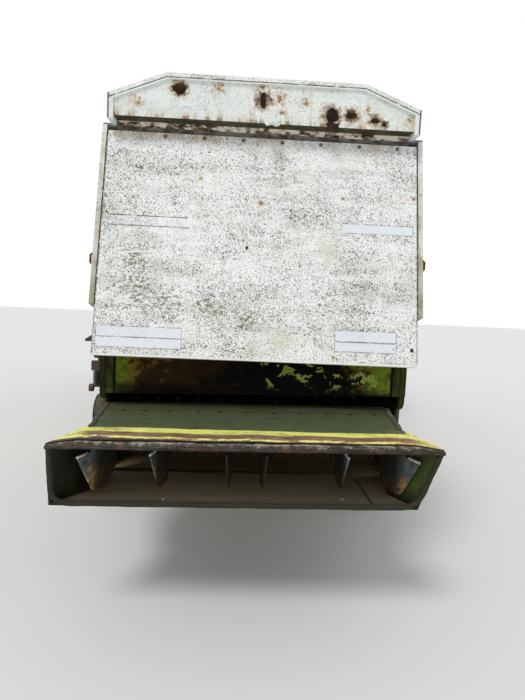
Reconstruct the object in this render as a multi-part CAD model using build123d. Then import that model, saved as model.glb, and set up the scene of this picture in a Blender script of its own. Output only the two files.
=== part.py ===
"""A combine harvester of the six-walker class, as an assembly of separate pieces.

Millimetres. X points to the machine's right, Y forward and Z up. Pieces are laid out about the front
axle, at y = 0, with the ground at z = 0, and are moved at the end so that the origin lies on the ground
under the middle of the machine. Side views are outlines of (y, z) points,
drawn at an x and extruded across.
"""
import os
from math import acos, atan2, cos, degrees, hypot, pi, radians, sin, sqrt, tan

from build123d import *

# Running gaps
CLEAR = 6.0                 # between a moving piece and its surroundings
SEAT = 0.3                  # between pieces that bear on each other without being fixed
SHEET = 20.0                # folded sheet metal walls

# Threshing body
BODY_HALF = 861.0           # half width over the side sheets
BODY_TOP = 2150.0
BODY_FRONT = 835.0
BODY_REAR = -4300.0
BELLY_REAR = 1180.0         # underside at the rear end
BELLY_FRONT_Y = -3200.0
BELLY_FRONT = 980.0         # underside ahead of the rear axle
BODY_LOW = 720.0            # underside between the axles
BODY_SEAT = 1030.0          # where the front axle is bolted on
TUNNEL_WALL = 61.0          # either side of the straw walkers
TUNNEL_FLOOR = 1500.0
TUNNEL_ROOF = 40.0
TUNNEL_DEPTH = 1000.0

# Front axle and drive wheels
FRONT_RADIUS = 880.0
FRONT_WIDTH = 620.0
FRONT_RIM = 406.0
FRONT_TRACK = 2690.0
AXLE_BEAM = 220.0           # square section of the beam
DRIVE_R = 230.0             # final drive housings
STUB_R = 60.0
HUB_HALF = 65.0             # half length of a drive wheel's hub
LUG_DEPTH = 45.0
LUG_THICK = 56.0
LUGS_A_SIDE = 17
LUG_SLANT = 42.0
BEAD_GAP = 1.5              # rim flange to tyre, whose flats stand out a little

# Rear axle and steered wheels
REAR_AXLE_Y = -3750.0
REAR_RADIUS = 450.0
REAR_WIDTH = 300.0
REAR_RIM = 194.0
RIB_DEPTH = 14.0
RIB_PITCH = 96.0
REAR_TRACK = 2100.0
REAR_BEAM_LOW = 480.0
REAR_BEAM_HIGH = 600.0
REAR_BEAM_HALF = 65.0
KINGPIN_X = 830.0
KINGPIN_R = 30.0
SLEEVE_R = 50.0
SPINDLE_R = 35.0
ARM_LENGTH = 200.0          # steering arm, kingpin to tie rod
ARM_LOW = 400.0
ARM_THICK = 25.0
TIE_PIN_R = 12.0
TIE_EYE_HEIGHT = 30.0
TIE_ROD_R = 13.0
PIVOT_R = 40.0              # the beam's pivot in its carrier
PIVOT_Z = 700.0
CARRIER_HALF = 500.0
CARRIER_PLATE = 25.0
HITCH_REACH = 205.0         # tow pin hole behind the axle
HITCH_R = 16.0
HITCH_PLATE = 20.0

# Straw hood
HOOD_FRONT = -3600.0
HOOD_TOP = 2520.0           # top of the side walls
HOOD_WALL = 25.0
HOOD_REAR_LOW = 1570.0      # lower end of the side walls' rear edge
CAP_HALF = 812.0
CAP_WALL = 30.0
CAP_EAVE = 125.0            # height of the cap's upright sides
CAP_RISE = 115.0            # height of its slopes
CAP_FLAT_HALF = 517.0       # half width of the flat top between the slopes
CAP_OVERHANG = 12.0
CAP_FLANGE = 8.0
GABLE_FACE = -5530.0
GABLE_SHEET = 10.0
LEDGE_RISE = 20.0           # underside of the gable's ledge above the side walls' top
LEDGE_DEPTH = 95.0
LIP_SHEET = 8.0
LIP_DROP = 25.0
STRIP_THICK = 8.0           # rubber strip that the flap hangs from
BEAD_R = 8.0                # its lower edge, which the flap turns about
BEAD_DROP = 47.0            # bead below the ledge
FLAP_LEAN = 12.2            # degrees from upright
FLAP_RUN = 1200.0
FLAP_THICK = 30.0
FLAP_SHEET = 8.0
FLAP_OUTSET = 14.0          # outer face behind the bead's axis

# Straw walkers
WALKERS = 6
WALKER_GAP = 24.0
WALKER_STEP = 300.0
WALKER_RISE = 45.0
WALKER_REACH = 800.0        # beyond the body's rear end
CRANK_R = 30.0

# Straw chopper
ROTOR_Y = -5170.0
ROTOR_Z = 905.0
ROTOR_REACH = 240.0         # knife tips
ROTOR_TUBE = 70.0
ROTOR_SHAFT = 25.0
PAN_GAP = 25.0              # knife tips to pan
CHOPPER_PLATE = 30.0
CHOPPER_REAR = -5500.0
CHOPPER_FRONT = -4870.0
CHOPPER_TOP = 1570.0
CHOPPER_WALL_LOW = 1108.0   # at the middle of its bent lower edge
WALL_SAG = 20.0             # how far that edge falls to the left, and rises to the right
CHOPPER_POST = 80.0         # flanges down the rear wall's ends
CHOPPER_WALL_TOP = 1420.0
PAN_LIP_Y = -5400.0
KNIFE_ROWS = 4
KNIVES_A_ROW = 12

# Spreader hood behind the chopper
HINGE_Y = -5450.0
HINGE_Z = 1085.0
HINGE_R = 12.0
DUCT_FRONT = -5486.0
DUCT_FRONT_TOP = 1041.0
DUCT_FRONT_LOW = 650.0
DUCT_FRONT_HALF = 781.0
DUCT_BEND = 0.64            # share of its length after which the sides flare
DUCT_BEND_HALF = 766.0
DUCT_REAR = -6000.0
DUCT_REAR_TOP = 975.0
DUCT_FLAT_HALF = 785.0      # flat part of the top's rear edge; the corners outside it are bent down
DUCT_REAR_TOP_HALF = 912.0
DUCT_CORNER_TOP = 953.0
DUCT_FLOOR_REAR = -5920.0
DUCT_REAR_LOW = 635.0
DUCT_REAR_LOW_HALF = 878.0
DUCT_WALL = 12.0
# the duct has been bent: it hangs to the left, and its floor more so
DUCT_SWAY = -28.0
FLOOR_SWAY = -45.0
DUCT_SAG = 16.0             # how far its right edge stands above its middle
RIM_HEIGHT = 40.0           # folded lip along the mouth's top
RIM_END = 18.0              # its height at the mouth's corners
RIM_THICK = 30.0
VANE_THICK = 8.0
VANE_HEIGHT = 298.0
VANE_SLANT = 120.0          # how far the rear edge runs forward on its way down
VANE_NOTCH = 100.0          # depth of the cut under the lip, which leaves the rear end's top bare
VANE_WIDTH = 112.0

# Grain tank and unloading auger
TANK_FRONT = -150.0
TANK_REAR = -2100.0
TANK_HALF = 1150.0
TANK_SLOPE = 400.0          # height of its sloping lower sides
TANK_TOP = 3350.0
TANK_WALL = 30.0
FILL_R = 120.0
UNLOAD_GAP = 40.0           # tank side to tube
UNLOAD_Y = -480.0
UNLOAD_R = 120.0
UNLOAD_LENGTH = 2600.0
UNLOAD_RISE = 12.0          # degrees
OUTLET_Z = 2010.0           # pipe from the body to the riser
TURN_Z = 2255.0             # where the swinging elbow sits on the riser
ELBOW_HEIGHT = 165.0
COLLAR = 25.0

# Engine behind the tank
ENGINE_FRONT = -2140.0
ENGINE_REAR = -3560.0
ENGINE_HALF = 700.0
ENGINE_TOP = 2950.0
ENGINE_SHOULDER = 160.0
SCREEN_R = 330.0
SCREEN_Y = -2850.0
SCREEN_Z = 2530.0
SCREEN_SHAFT = 20.0
STACK_X = -380.0
STACK_Y = -2450.0

# Cab
CAB_HALF = 750.0
CAB_REAR = -60.0
CAB_FRONT = 1500.0
CAB_LEAN = 80.0             # the windscreen's top leans forward by this
CAB_FLOOR = 60.0
CAB_TOP = 3620.0
CAB_WALL = 50.0
CAB_ROOF = 160.0
POST = 70.0                 # corner posts and window frames
SILL_Z = 2750.0             # lower edge of the side windows
SCREEN_SILL_Z = 2330.0
DOOR_REAR = 300.0
DOOR_FRONT = 980.0
DOOR_LOW = 2270.0
DOOR_TOP = 3500.0
DOOR_THICK = 40.0
DOOR_HINGE_R = 11.0
DOOR_PIN_R = 6.0
HANDLE_LOW = 2900.0
HANDLE_LENGTH = 150.0
GLASS = 8.0
STEER_R = 200.0             # steering wheel
MIRROR_Z = 3050.0
MIRROR_HEIGHT = 320.0

# Platform and ladder
DECK_OUT = 1510.0
DECK_REAR = 150.0
DECK_FRONT = 1180.0
DECK_THICK = 40.0
RAIL_R = 16.0
RAIL_HEIGHT = 950.0
LADDER_LOW = 420.0
LADDER_OUT = 1360.0
LADDER_WIDTH = 420.0
RUNGS = 6

# Outside the body
SHIELD_X = 1000.0
SHIELD_SHEET = 12.0
SHIELD_REAR = -3300.0
SHIELD_FRONT = -1000.0
SHIELD_LOW = 1250.0
SHIELD_TOP = 2050.0
STANDOFF_R = 15.0
ELEVATOR_Y = -1625.0
ELEVATOR_DEPTH = 250.0
ELEVATOR_WIDTH = 140.0
ELEVATOR_TOP = 3250.0
ELEVATOR_LOW = 730.0
BELT_WIDTH = 38.0
BELT_THICK = 8.0
PULLEY_X = 45.0             # belt centre outside the body's side
TANK_BOTTOM = 1400.0        # fuel tank
FUEL_REAR = -3900.0
FUEL_LENGTH = 500.0
FUEL_WIDTH = 310.0
FUEL_HEIGHT = 430.0

# Feeder house, header and reel
FEED_Y = 1000.0
FEED_Z = 1650.0
FEED_DRUM = 150.0
FEED_HALF = 560.0
FEED_SHAFT = 40.0
FEED_MOUTH_TOP = 900.0
FEED_MOUTH_LOW = 290.0
EAR = 40.0
HEADER_HALF = 2250.0
HEADER_BACK = 2160.0
HEADER_TOP = 1150.0
HEADER_SHEET = 20.0
AUGER_Y = 2470.0
AUGER_Z = 490.0
AUGER_TUBE = 150.0
AUGER_R = 250.0
AUGER_GAP = 22.0
FLIGHT_PITCH = 560.0
FLIGHT_STEPS = 12           # straight steps in a turn
FLIGHT_THICK = 10.0
KNIFE_Y = 2950.0
KNIFE_Z = 160.0
FINGERS = 28
DIVIDER_TIP = 3460.0
DIVIDER_SHOULDER = 700.0    # height at which the dividers start to fall away
REEL_Y = 2960.0
REEL_Z = 1170.0
REEL_R = 560.0
REEL_SHAFT = 30.0
REEL_BARS = 6
TINES = 18
TINE_LENGTH = 170.0
REEL_END_GAP = 60.0         # tine bars inside the end walls
ARM_Y = 2180.0
ARM_Z = 1250.0
ARM_PIN = 20.0
LIFT_X = 450.0
LIFT_PIN_Y = 300.0
LIFT_PIN_Z = 800.0
LIFT_EYE_Y = 1560.0
LIFT_EYE_Z = 575.0
LIFT_PIN_R = 20.0
LIFT_EYE_GAP = 12.0         # the rod's eye is where the linkage is opened
BARREL_R = 45.0
BARREL_LENGTH = 760.0
ROD_R = 26.0

# Sizes that follow
WALL_IN = BODY_HALF - HOOD_WALL
UNLOAD_X = -(TANK_HALF + UNLOAD_GAP + UNLOAD_R)
REEL_HALF = HEADER_HALF - REEL_END_GAP
LEDGE_Z = HOOD_TOP + LEDGE_RISE
LIP_Y = GABLE_FACE + LEDGE_DEPTH
BEAD_Y = LIP_Y + STRIP_THICK / 2
BEAD_Z = LEDGE_Z - BEAD_DROP
CAP_TOP = HOOD_TOP + CAP_EAVE + CAP_RISE
FLOOR_Z = BODY_TOP + CAB_FLOOR
DOWN = (-sin(radians(FLAP_LEAN)), -cos(radians(FLAP_LEAN)))
INWARD = (cos(radians(FLAP_LEAN)), -sin(radians(FLAP_LEAN)))


# Shared shapes

def across(outline, x0, x1):
    """A slab whose side view is an outline of (y, z) points, from x0 to x1."""
    low, high = min(x0, x1), max(x0, x1)
    face = make_face(Polyline(*[Vector(0, y, z) for y, z in outline], close=True))
    return Pos(low, 0, 0) * extrude(face, high - low, dir=(1, 0, 0))


def along(outline, y0, y1):
    """A slab whose end view is an outline of (x, z) points, from y0 to y1."""
    low, high = min(y0, y1), max(y0, y1)
    face = make_face(Polyline(*[Vector(x, 0, z) for x, z in outline], close=True))
    return Pos(0, low, 0) * extrude(face, high - low, dir=(0, 1, 0))


def upright(outline, z0, z1):
    """A slab whose top view is an outline of (x, y) points, from z0 to z1."""
    face = make_face(Polyline(*[Vector(x, y, 0) for x, y in outline], close=True))
    return Pos(0, 0, z0) * extrude(face, z1 - z0, dir=(0, 0, 1))


def block(x0, x1, y0, y1, z0, z1):
    """A box between two corners."""
    middle = Pos((x0 + x1) / 2, (y0 + y1) / 2, (z0 + z1) / 2)
    return middle * Box(abs(x1 - x0), abs(y1 - y0), abs(z1 - z0))


def bar(start, end, radius):
    """A round bar between two points."""
    a, b = Vector(*start), Vector(*end)
    plane = Plane(origin=a, z_dir=(b - a).normalized())
    return plane * Cylinder(radius, (b - a).length, align=(Align.CENTER, Align.CENTER, Align.MIN))


def shaft(x0, x1, y, z, radius):
    """A round shaft across the machine."""
    return bar((min(x0, x1), y, z), (max(x0, x1), y, z), radius)


def turned(profile, x=0, y=0, z=0):
    """A body of revolution about an axis across the machine; the profile is (x, radius) points."""
    face = make_face(Polyline(*[Vector(a, r, 0) for a, r in profile], close=True))
    return Pos(x, y, z) * revolve(face, Axis.X, 360)


def both_sides(shape):
    """A piece on the right side and its mirror image on the left."""
    return [shape, mirror(shape, Plane.YZ)]


def arc_points(y, z, radius, start, stop, count):
    """Points on an arc in the side view, in degrees from straight forward and turning downwards."""
    turns = [radians(start + (stop - start) * i / count) for i in range(count + 1)]
    return [(y + radius * cos(a), z - radius * sin(a)) for a in turns]


def belly(y):
    """Height of the body's sloping underside over the rear axle."""
    share = (BELLY_FRONT_Y - y) / (BELLY_FRONT_Y - BODY_REAR)
    return BELLY_FRONT + share * (BELLY_REAR - BELLY_FRONT)


def flap_point(down, inward):
    """A point of the flap's side view, measured from the bead it hangs from."""
    return (BEAD_Y + down * DOWN[0] + inward * INWARD[0], BEAD_Z + down * DOWN[1] + inward * INWARD[1])


def flap_y(z):
    """The y of the flap's outer face at a height."""
    y, top = flap_point(0, -FLAP_OUTSET)
    return y - (top - z) * tan(radians(FLAP_LEAN))


# Threshing body and axles

def threshing_body():
    half_seat = AXLE_BEAM / 2 + 190
    outline = [
        (BODY_FRONT, FEED_Z - 320), (BODY_FRONT, FEED_Z + 250), (BODY_FRONT - 135, BODY_TOP),
        (BODY_REAR, BODY_TOP), (BODY_REAR, BELLY_REAR), (BELLY_FRONT_Y, BELLY_FRONT),
        (BELLY_FRONT_Y + 350, BODY_LOW + 30), (-half_seat - 220, BODY_LOW), (-half_seat, BODY_SEAT),
        (half_seat, BODY_SEAT), (BODY_FRONT - 215, BODY_SEAT + 120),
    ]
    body = across(outline, -BODY_HALF, BODY_HALF)
    inner = BODY_HALF - TUNNEL_WALL
    body -= block(-inner, inner, BODY_REAR - 1, BODY_REAR + TUNNEL_DEPTH, TUNNEL_FLOOR,
                  BODY_TOP - TUNNEL_ROOF)
    # two ears carry the feeder house's top shaft
    reach = FEED_Y + FEED_SHAFT + 35
    ear = across([(BODY_FRONT, FEED_Z - 170), (BODY_FRONT, FEED_Z + 170), (reach - 40, FEED_Z + 80),
                  (reach, FEED_Z), (reach - 40, FEED_Z - 80)],
                 FEED_HALF + CLEAR, FEED_HALF + CLEAR + EAR)
    ear -= shaft(FEED_HALF, FEED_HALF + CLEAR + EAR + 5, FEED_Y, FEED_Z, FEED_SHAFT + SEAT)
    for side in both_sides(ear):
        body += side
    return body


def front_axle():
    half = AXLE_BEAM / 2
    low, high = FRONT_RADIUS - half, FRONT_RADIUS + half
    drive_in = BODY_HALF + 139
    hub_in = FRONT_TRACK / 2 - HUB_HALF
    beam = block(-drive_in, drive_in, -half, half, low, high)
    right = block(520, 760, -half, half, high, BODY_SEAT)
    right += shaft(drive_in, hub_in - 10, 0, FRONT_RADIUS, DRIVE_R)
    right += shaft(hub_in - 10, FRONT_TRACK / 2 + HUB_HALF - 15, 0, FRONT_RADIUS, STUB_R - SEAT)
    # ears for the lift cylinders, ahead of the beam
    eye, gap = BARREL_R + 5, BARREL_R + CLEAR
    for x in (LIFT_X - gap - 25, LIFT_X + gap):
        right += across([(half, low + 190), (half, low + 10), (LIFT_PIN_Y, LIFT_PIN_Z - eye),
                         (LIFT_PIN_Y + eye, LIFT_PIN_Z), (LIFT_PIN_Y, LIFT_PIN_Z + eye)], x, x + 25)
    right += shaft(LIFT_X - gap - 25, LIFT_X + gap + 25, LIFT_PIN_Y, LIFT_PIN_Z, LIFT_PIN_R)
    for side in both_sides(right):
        beam += side
    return beam


def rear_axle():
    y, half = REAR_AXLE_Y, REAR_BEAM_HALF
    beam = block(-KINGPIN_X + 30, KINGPIN_X - 30, y - half, y + half, REAR_BEAM_LOW, REAR_BEAM_HIGH)
    for x in (-KINGPIN_X, KINGPIN_X):
        middle = (REAR_BEAM_LOW + REAR_BEAM_HIGH) / 2 + 5
        height = REAR_BEAM_HIGH - REAR_BEAM_LOW + 30
        beam += Pos(x, y, middle) * Cylinder(SLEEVE_R, height)
        beam -= Pos(x, y, middle) * Cylinder(KINGPIN_R + SEAT, height + 10)
    lug = PIVOT_R + 30
    beam += along([(-lug - 20, REAR_BEAM_HIGH), (lug + 20, REAR_BEAM_HIGH), (lug - 10, PIVOT_Z + lug),
                   (-lug + 10, PIVOT_Z + lug)], y - half + 5, y + half - 5)
    beam += bar((0, y - half - 45, PIVOT_Z), (0, y + half + 45, PIVOT_Z), PIVOT_R)
    # two plates behind the beam make the tow hitch
    for z in (REAR_BEAM_HIGH - HITCH_PLATE, REAR_BEAM_HIGH - 80):
        tip = y - HITCH_REACH - 45
        ear = upright([(-70, y - half), (70, y - half), (45, tip), (-45, tip)],
                      z, z + HITCH_PLATE)
        ear -= Pos(0, y - HITCH_REACH, z + HITCH_PLATE / 2) * Cylinder(HITCH_R, HITCH_PLATE + 10)
        beam += ear
    return beam


def axle_carrier():
    """Two plates and a pad that hang the rear axle's pivot from the body."""
    y, inner = REAR_AXLE_Y, REAR_BEAM_HALF + 10
    outer = inner + CARRIER_PLATE
    top = BELLY_REAR + 50
    carrier = block(-CARRIER_HALF, CARRIER_HALF, y - outer, y + outer, belly(y + outer) - 25, top)
    low = PIVOT_Z - PIVOT_R - 25
    for near in (y - outer, y + inner):
        carrier += along([(-CARRIER_HALF, top), (-CARRIER_HALF, belly(y + outer) - 25), (-90, low),
                          (90, low),
                          (CARRIER_HALF, belly(y + outer) - 25), (CARRIER_HALF, top)], near,
                          near + CARRIER_PLATE)
    carrier -= bar((0, y - outer - 5, PIVOT_Z), (0, y + outer + 5, PIVOT_Z), PIVOT_R + SEAT)
    under = [(y - outer, 0), (y + outer, 0), (y + outer, belly(y + outer)), (y - outer, belly(y - outer))]
    return carrier & across(under, -CARRIER_HALF, CARRIER_HALF)


def tyre_profile(radius, width, rim_radius, depth):
    """Outer profile of a tyre from the left bead to the right: bead, bulge, shoulder and tread base."""
    base, half = radius - depth, width / 2
    section = base - rim_radius
    toe = 15.0
    side = [(0.8 * half + 0.2 * half * toe / (0.42 * section), rim_radius + toe),
            (half, rim_radius + 0.42 * section),
            (half, rim_radius + 0.62 * section), (0.88 * half, base)]
    return [*[(-x, r) for x, r in side], *reversed(side)]


def ring(profile, sides, bore):
    """A many-sided ring about the wheel's axis through (x, radius) stations, its flats out at the bore."""
    stations = [Plane.YZ.offset(x) * RegularPolygon(r, sides) for x, r in profile]
    hole = Plane.YZ.offset(profile[0][0] - 1) * RegularPolygon(bore / cos(pi / sides), sides)
    length = profile[-1][0] - profile[0][0] + 2
    return loft(stations, ruled=True) - extrude(hole, length, dir=(1, 0, 0))


def front_tyre(side):
    """Drive tyre with slanted lugs, alternating from side to side."""
    carcass = ring(tyre_profile(FRONT_RADIUS, FRONT_WIDTH, FRONT_RIM, LUG_DEPTH), 44, FRONT_RIM)
    step = 360 / LUGS_A_SIDE
    length = 0.53 * FRONT_WIDTH
    # the lugs are flat on top, so that only their ends reach the full radius
    reach = length / 2 * sin(radians(LUG_SLANT)) + LUG_THICK / 2 * cos(radians(LUG_SLANT))
    crest = sqrt(FRONT_RADIUS ** 2 - reach ** 2)
    lugs = []
    for hand in (1, -1):
        lug = Box(length, LUG_THICK, 2 * LUG_DEPTH)
        lug = Pos(hand * FRONT_WIDTH / 4, 0, crest - LUG_DEPTH) * Rot(0, 0, -hand * LUG_SLANT) * lug
        lugs += [Rot(i * step + (hand - 1) * step / 4, 0, 0) * lug for i in range(LUGS_A_SIDE)]
    return Pos(side * FRONT_TRACK / 2, 0, FRONT_RADIUS) * (carcass + lugs)


def rear_tyre(side):
    """Steering tyre with ribs round it."""
    base = REAR_RADIUS - RIB_DEPTH
    profile = tyre_profile(REAR_RADIUS, REAR_WIDTH, REAR_RIM, RIB_DEPTH)
    half = len(profile) // 2
    grooves = []
    for x in (-RIB_PITCH, 0, RIB_PITCH):
        grooves += [(x - 25, base), (x - 18, REAR_RADIUS), (x + 18, REAR_RADIUS), (x + 25, base)]
    carcass = ring(profile[:half] + grooves + profile[half:], 40, REAR_RIM)
    return Pos(side * REAR_TRACK / 2, REAR_AXLE_Y, REAR_RADIUS) * carcass


def rim(radius, width, section, wall, disc, hub_radius, hub_half, bore):
    """Wheel rim for a tyre: barrel with flanges along the beads, disc and hub."""
    outer, inner, half = radius - SEAT, radius - wall, 0.4 * width
    slope = 0.1 * width / (0.42 * section)
    flange, plate, toe = 22.0, 16.0, 15.0
    foot = half + slope * toe + BEAD_GAP
    tip = foot + slope * (flange - toe)
    return [
        (foot, outer), (foot, outer + toe), (tip, outer + flange), (tip + 6, outer + flange),
        (foot + 12, inner),
        (disc + plate, inner), (disc + plate, hub_radius), (hub_half, hub_radius), (hub_half, bore),
        (-hub_half, bore), (-hub_half, hub_radius), (disc, hub_radius), (disc, inner),
        (-foot - 12, inner), (-tip - 6, outer + flange), (-tip, outer + flange), (-foot, outer + toe),
        (-foot, outer),
    ]


def front_rim(side):
    section = FRONT_RADIUS - LUG_DEPTH - FRONT_RIM
    profile = rim(FRONT_RIM, FRONT_WIDTH, section, 22, HUB_HALF - 25, 130, HUB_HALF, STUB_R)
    return turned([(side * x, r) for x, r in profile], side * FRONT_TRACK / 2, 0, FRONT_RADIUS)


def rear_rim(side):
    section = REAR_RADIUS - RIB_DEPTH - REAR_RIM
    profile = rim(REAR_RIM, REAR_WIDTH, section, 14, 20, 75, 45, SPINDLE_R)
    return turned([(side * x, r) for x, r in profile], side * REAR_TRACK / 2, REAR_AXLE_Y, REAR_RADIUS)


def knuckle(side):
    """Kingpin, yoke, wheel spindle and steering arm."""
    x, y = KINGPIN_X, REAR_AXLE_Y
    sleeve_low = REAR_BEAM_LOW - 10
    sleeve_top = REAR_BEAM_HIGH + 20
    yoke_top = sleeve_low - CLEAR
    piece = bar((x, y, ARM_LOW), (x, y, sleeve_top + 20), KINGPIN_R)
    piece += bar((x, y, sleeve_top + SEAT), (x, y, sleeve_top + 20), KINGPIN_R + 14)
    stand = SLEEVE_R + CLEAR
    piece += block(x - SLEEVE_R, x + stand + 16, y - 45, y + 45, ARM_LOW, yoke_top)
    piece += block(x + stand, x + stand + 16, y - 45, y + 45, ARM_LOW, REAR_RADIUS + SPINDLE_R + 15)
    piece += shaft(x + stand, REAR_TRACK / 2 + 50, y, REAR_RADIUS, SPINDLE_R - SEAT)
    piece += block(x - 24, x + 24, y - ARM_LENGTH, y, ARM_LOW, ARM_LOW + ARM_THICK)
    piece += bar((x, y - ARM_LENGTH, ARM_LOW), (x, y - ARM_LENGTH, ARM_LOW + ARM_THICK), 24)
    piece += bar((x, y - ARM_LENGTH, ARM_LOW),
                 (x, y - ARM_LENGTH, ARM_LOW + ARM_THICK + TIE_EYE_HEIGHT + 12),
                 TIE_PIN_R)
    return piece if side > 0 else mirror(piece, Plane.YZ)


def tie_rod():
    y, low = REAR_AXLE_Y - ARM_LENGTH, ARM_LOW + ARM_THICK + SEAT
    middle = low + TIE_EYE_HEIGHT / 2
    rod = shaft(-KINGPIN_X + 20, KINGPIN_X - 20, y, middle, TIE_ROD_R)
    for x in (-KINGPIN_X, KINGPIN_X):
        rod += bar((x, y, low), (x, y, low + TIE_EYE_HEIGHT), TIE_PIN_R + 16)
        rod -= bar((x, y, low - 5), (x, y, low + TIE_EYE_HEIGHT + 5), TIE_PIN_R + SEAT)
    return rod


# Straw hood at the rear

def hood_sides():
    low = HOOD_REAR_LOW
    outline = [
        (HOOD_FRONT, BODY_TOP), (HOOD_FRONT, HOOD_TOP), (flap_y(HOOD_TOP) + 4, HOOD_TOP),
        (flap_y(low) + 4, low),
        ((ROTOR_Y + CHOPPER_REAR) / 2 + 180, low - 120), (BODY_REAR, BELLY_REAR), (BODY_REAR, BODY_TOP),
    ]
    return Compound(both_sides(across(outline, WALL_IN, BODY_HALF)))


def cap_outline(inset, foot):
    """End view of the hood's cap, moved inwards by an inset."""
    half, flat = CAP_HALF - inset, CAP_FLAT_HALF - 0.4 * inset
    eave, top = HOOD_TOP + CAP_EAVE - 0.8 * inset, CAP_TOP - inset
    return [(-half, foot), (-half, eave), (-flat, top), (flat, top), (half, eave), (half, foot)]


def hood_cap():
    rear = GABLE_FACE - CAP_OVERHANG
    shell = along(cap_outline(0, HOOD_TOP), rear, HOOD_FRONT)
    shell -= along(cap_outline(CAP_WALL, HOOD_TOP - 1), rear - 1, HOOD_FRONT - CAP_WALL)
    shell += block(-WALL_IN, WALL_IN, HOOD_FRONT - CAP_WALL, HOOD_FRONT, BODY_TOP, HOOD_TOP)
    # flanges along the eaves rest on the side walls
    for flange in both_sides(block(CAP_HALF - CAP_WALL, BODY_HALF, LIP_Y, HOOD_FRONT, HOOD_TOP,
                                   HOOD_TOP + CAP_FLANGE)):
        shell += flange
    return shell


def rust_hole(x, z, width, height, turn):
    """A ragged hole through the gable, as an uneven heptagon."""
    points = []
    for i in range(7):
        a = radians(turn + 360 * i / 7)
        reach = 1.0 + 0.18 * cos(3 * a + x)
        points.append((x + width / 2 * reach * cos(a), z + height / 2 * reach * sin(a)))
    return along(points, GABLE_FACE - 5, GABLE_FACE + GABLE_SHEET + 5)


def hood_gable():
    """Rear wall of the cap with its ledge, and the holes that rust has made in it."""
    inner = CAP_HALF - CAP_WALL
    lip_back = LIP_Y - LIP_SHEET
    face = along(cap_outline(CAP_WALL, LEDGE_Z), GABLE_FACE, GABLE_FACE + GABLE_SHEET)
    face += block(-inner, inner, GABLE_FACE, LIP_Y, LEDGE_Z, LEDGE_Z + GABLE_SHEET)
    face += block(-inner, inner, lip_back, LIP_Y, LEDGE_Z - LIP_DROP, LEDGE_Z + GABLE_SHEET)
    for hole in RUST_HOLES:
        face -= rust_hole(*hole)
    return face


# x, z, width, height and turn of each rust hole in the gable
RUST_HOLES = (
    (-448, 2689, 78, 62, 10),
    (-16, 2653, 30, 92, 0),
    (346, 2597, 68, 84, 40),
    (446, 2603, 62, 34, 15),
    (573, 2583, 50, 28, 0),
    (622, 2567, 26, 22, 20),
)


def flap_seal():
    """Rubber strip behind the lip; the flap turns about its beaded edge."""
    half = CAP_HALF - CAP_WALL
    strip = block(-half, half, LIP_Y, LIP_Y + STRIP_THICK, BEAD_Z, LEDGE_Z - 3)
    return strip + shaft(-half, half, BEAD_Y, BEAD_Z, BEAD_R)


def hood_flap():
    """Rear flap: a pressed tray with its rim turned inwards."""
    half = WALL_IN - CLEAR
    top, low = BEAD_R + SEAT, BEAD_R + SEAT + FLAP_RUN
    out, back = -FLAP_OUTSET, FLAP_THICK - FLAP_OUTSET
    tray = across([flap_point(top, out), flap_point(low, out), flap_point(low, back),
                   flap_point(top, back)],
                  -half, half)
    lip = FLAP_SHEET
    tray -= across([flap_point(top + lip, out + lip), flap_point(low - lip, out + lip),
                    flap_point(low - lip, back + 5), flap_point(top + lip, back + 5)], -half + lip,
                    half - lip)
    # stiffening ribs across the back
    for share in (0.33, 0.67):
        down = top + share * FLAP_RUN
        tray += across([flap_point(down - 15, out + lip), flap_point(down + 15, out + lip),
                        flap_point(down + 15, back), flap_point(down - 15, back)], -half + lip, half - lip)
    return tray


def straw_walkers():
    """Stepped channels side by side on two cranks."""
    inner = BODY_HALF - TUNNEL_WALL
    width = (2 * inner - (WALKERS + 1) * WALKER_GAP) / WALKERS
    start = BODY_REAR + TUNNEL_DEPTH - 20
    floor = TUNNEL_FLOOR + 40
    cranks = [(start - 250, floor + 70), (BODY_REAR + 120, floor + 70 + 80)]
    steps, y, z = [], start, floor + 130
    while y - WALKER_STEP > BODY_REAR - WALKER_REACH:
        steps += [(y, z), (y - WALKER_STEP, z + WALKER_RISE + 40)]
        y, z = y - WALKER_STEP, z + WALKER_RISE
    low = [(y, z - 120), (BODY_REAR + 120, floor + 75), (start, floor)]
    walkers = None
    for i in range(WALKERS):
        x = -inner + WALKER_GAP + i * (width + WALKER_GAP)
        lift = 20 * (-1) ** i
        piece = Pos(0, 0, lift) * across(steps + low, x, x + width)
        walkers = piece if walkers is None else walkers + piece
    for y, z in cranks:
        walkers += shaft(-inner, inner, y, z, CRANK_R)
    return walkers


# Chopper and spreader

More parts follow.
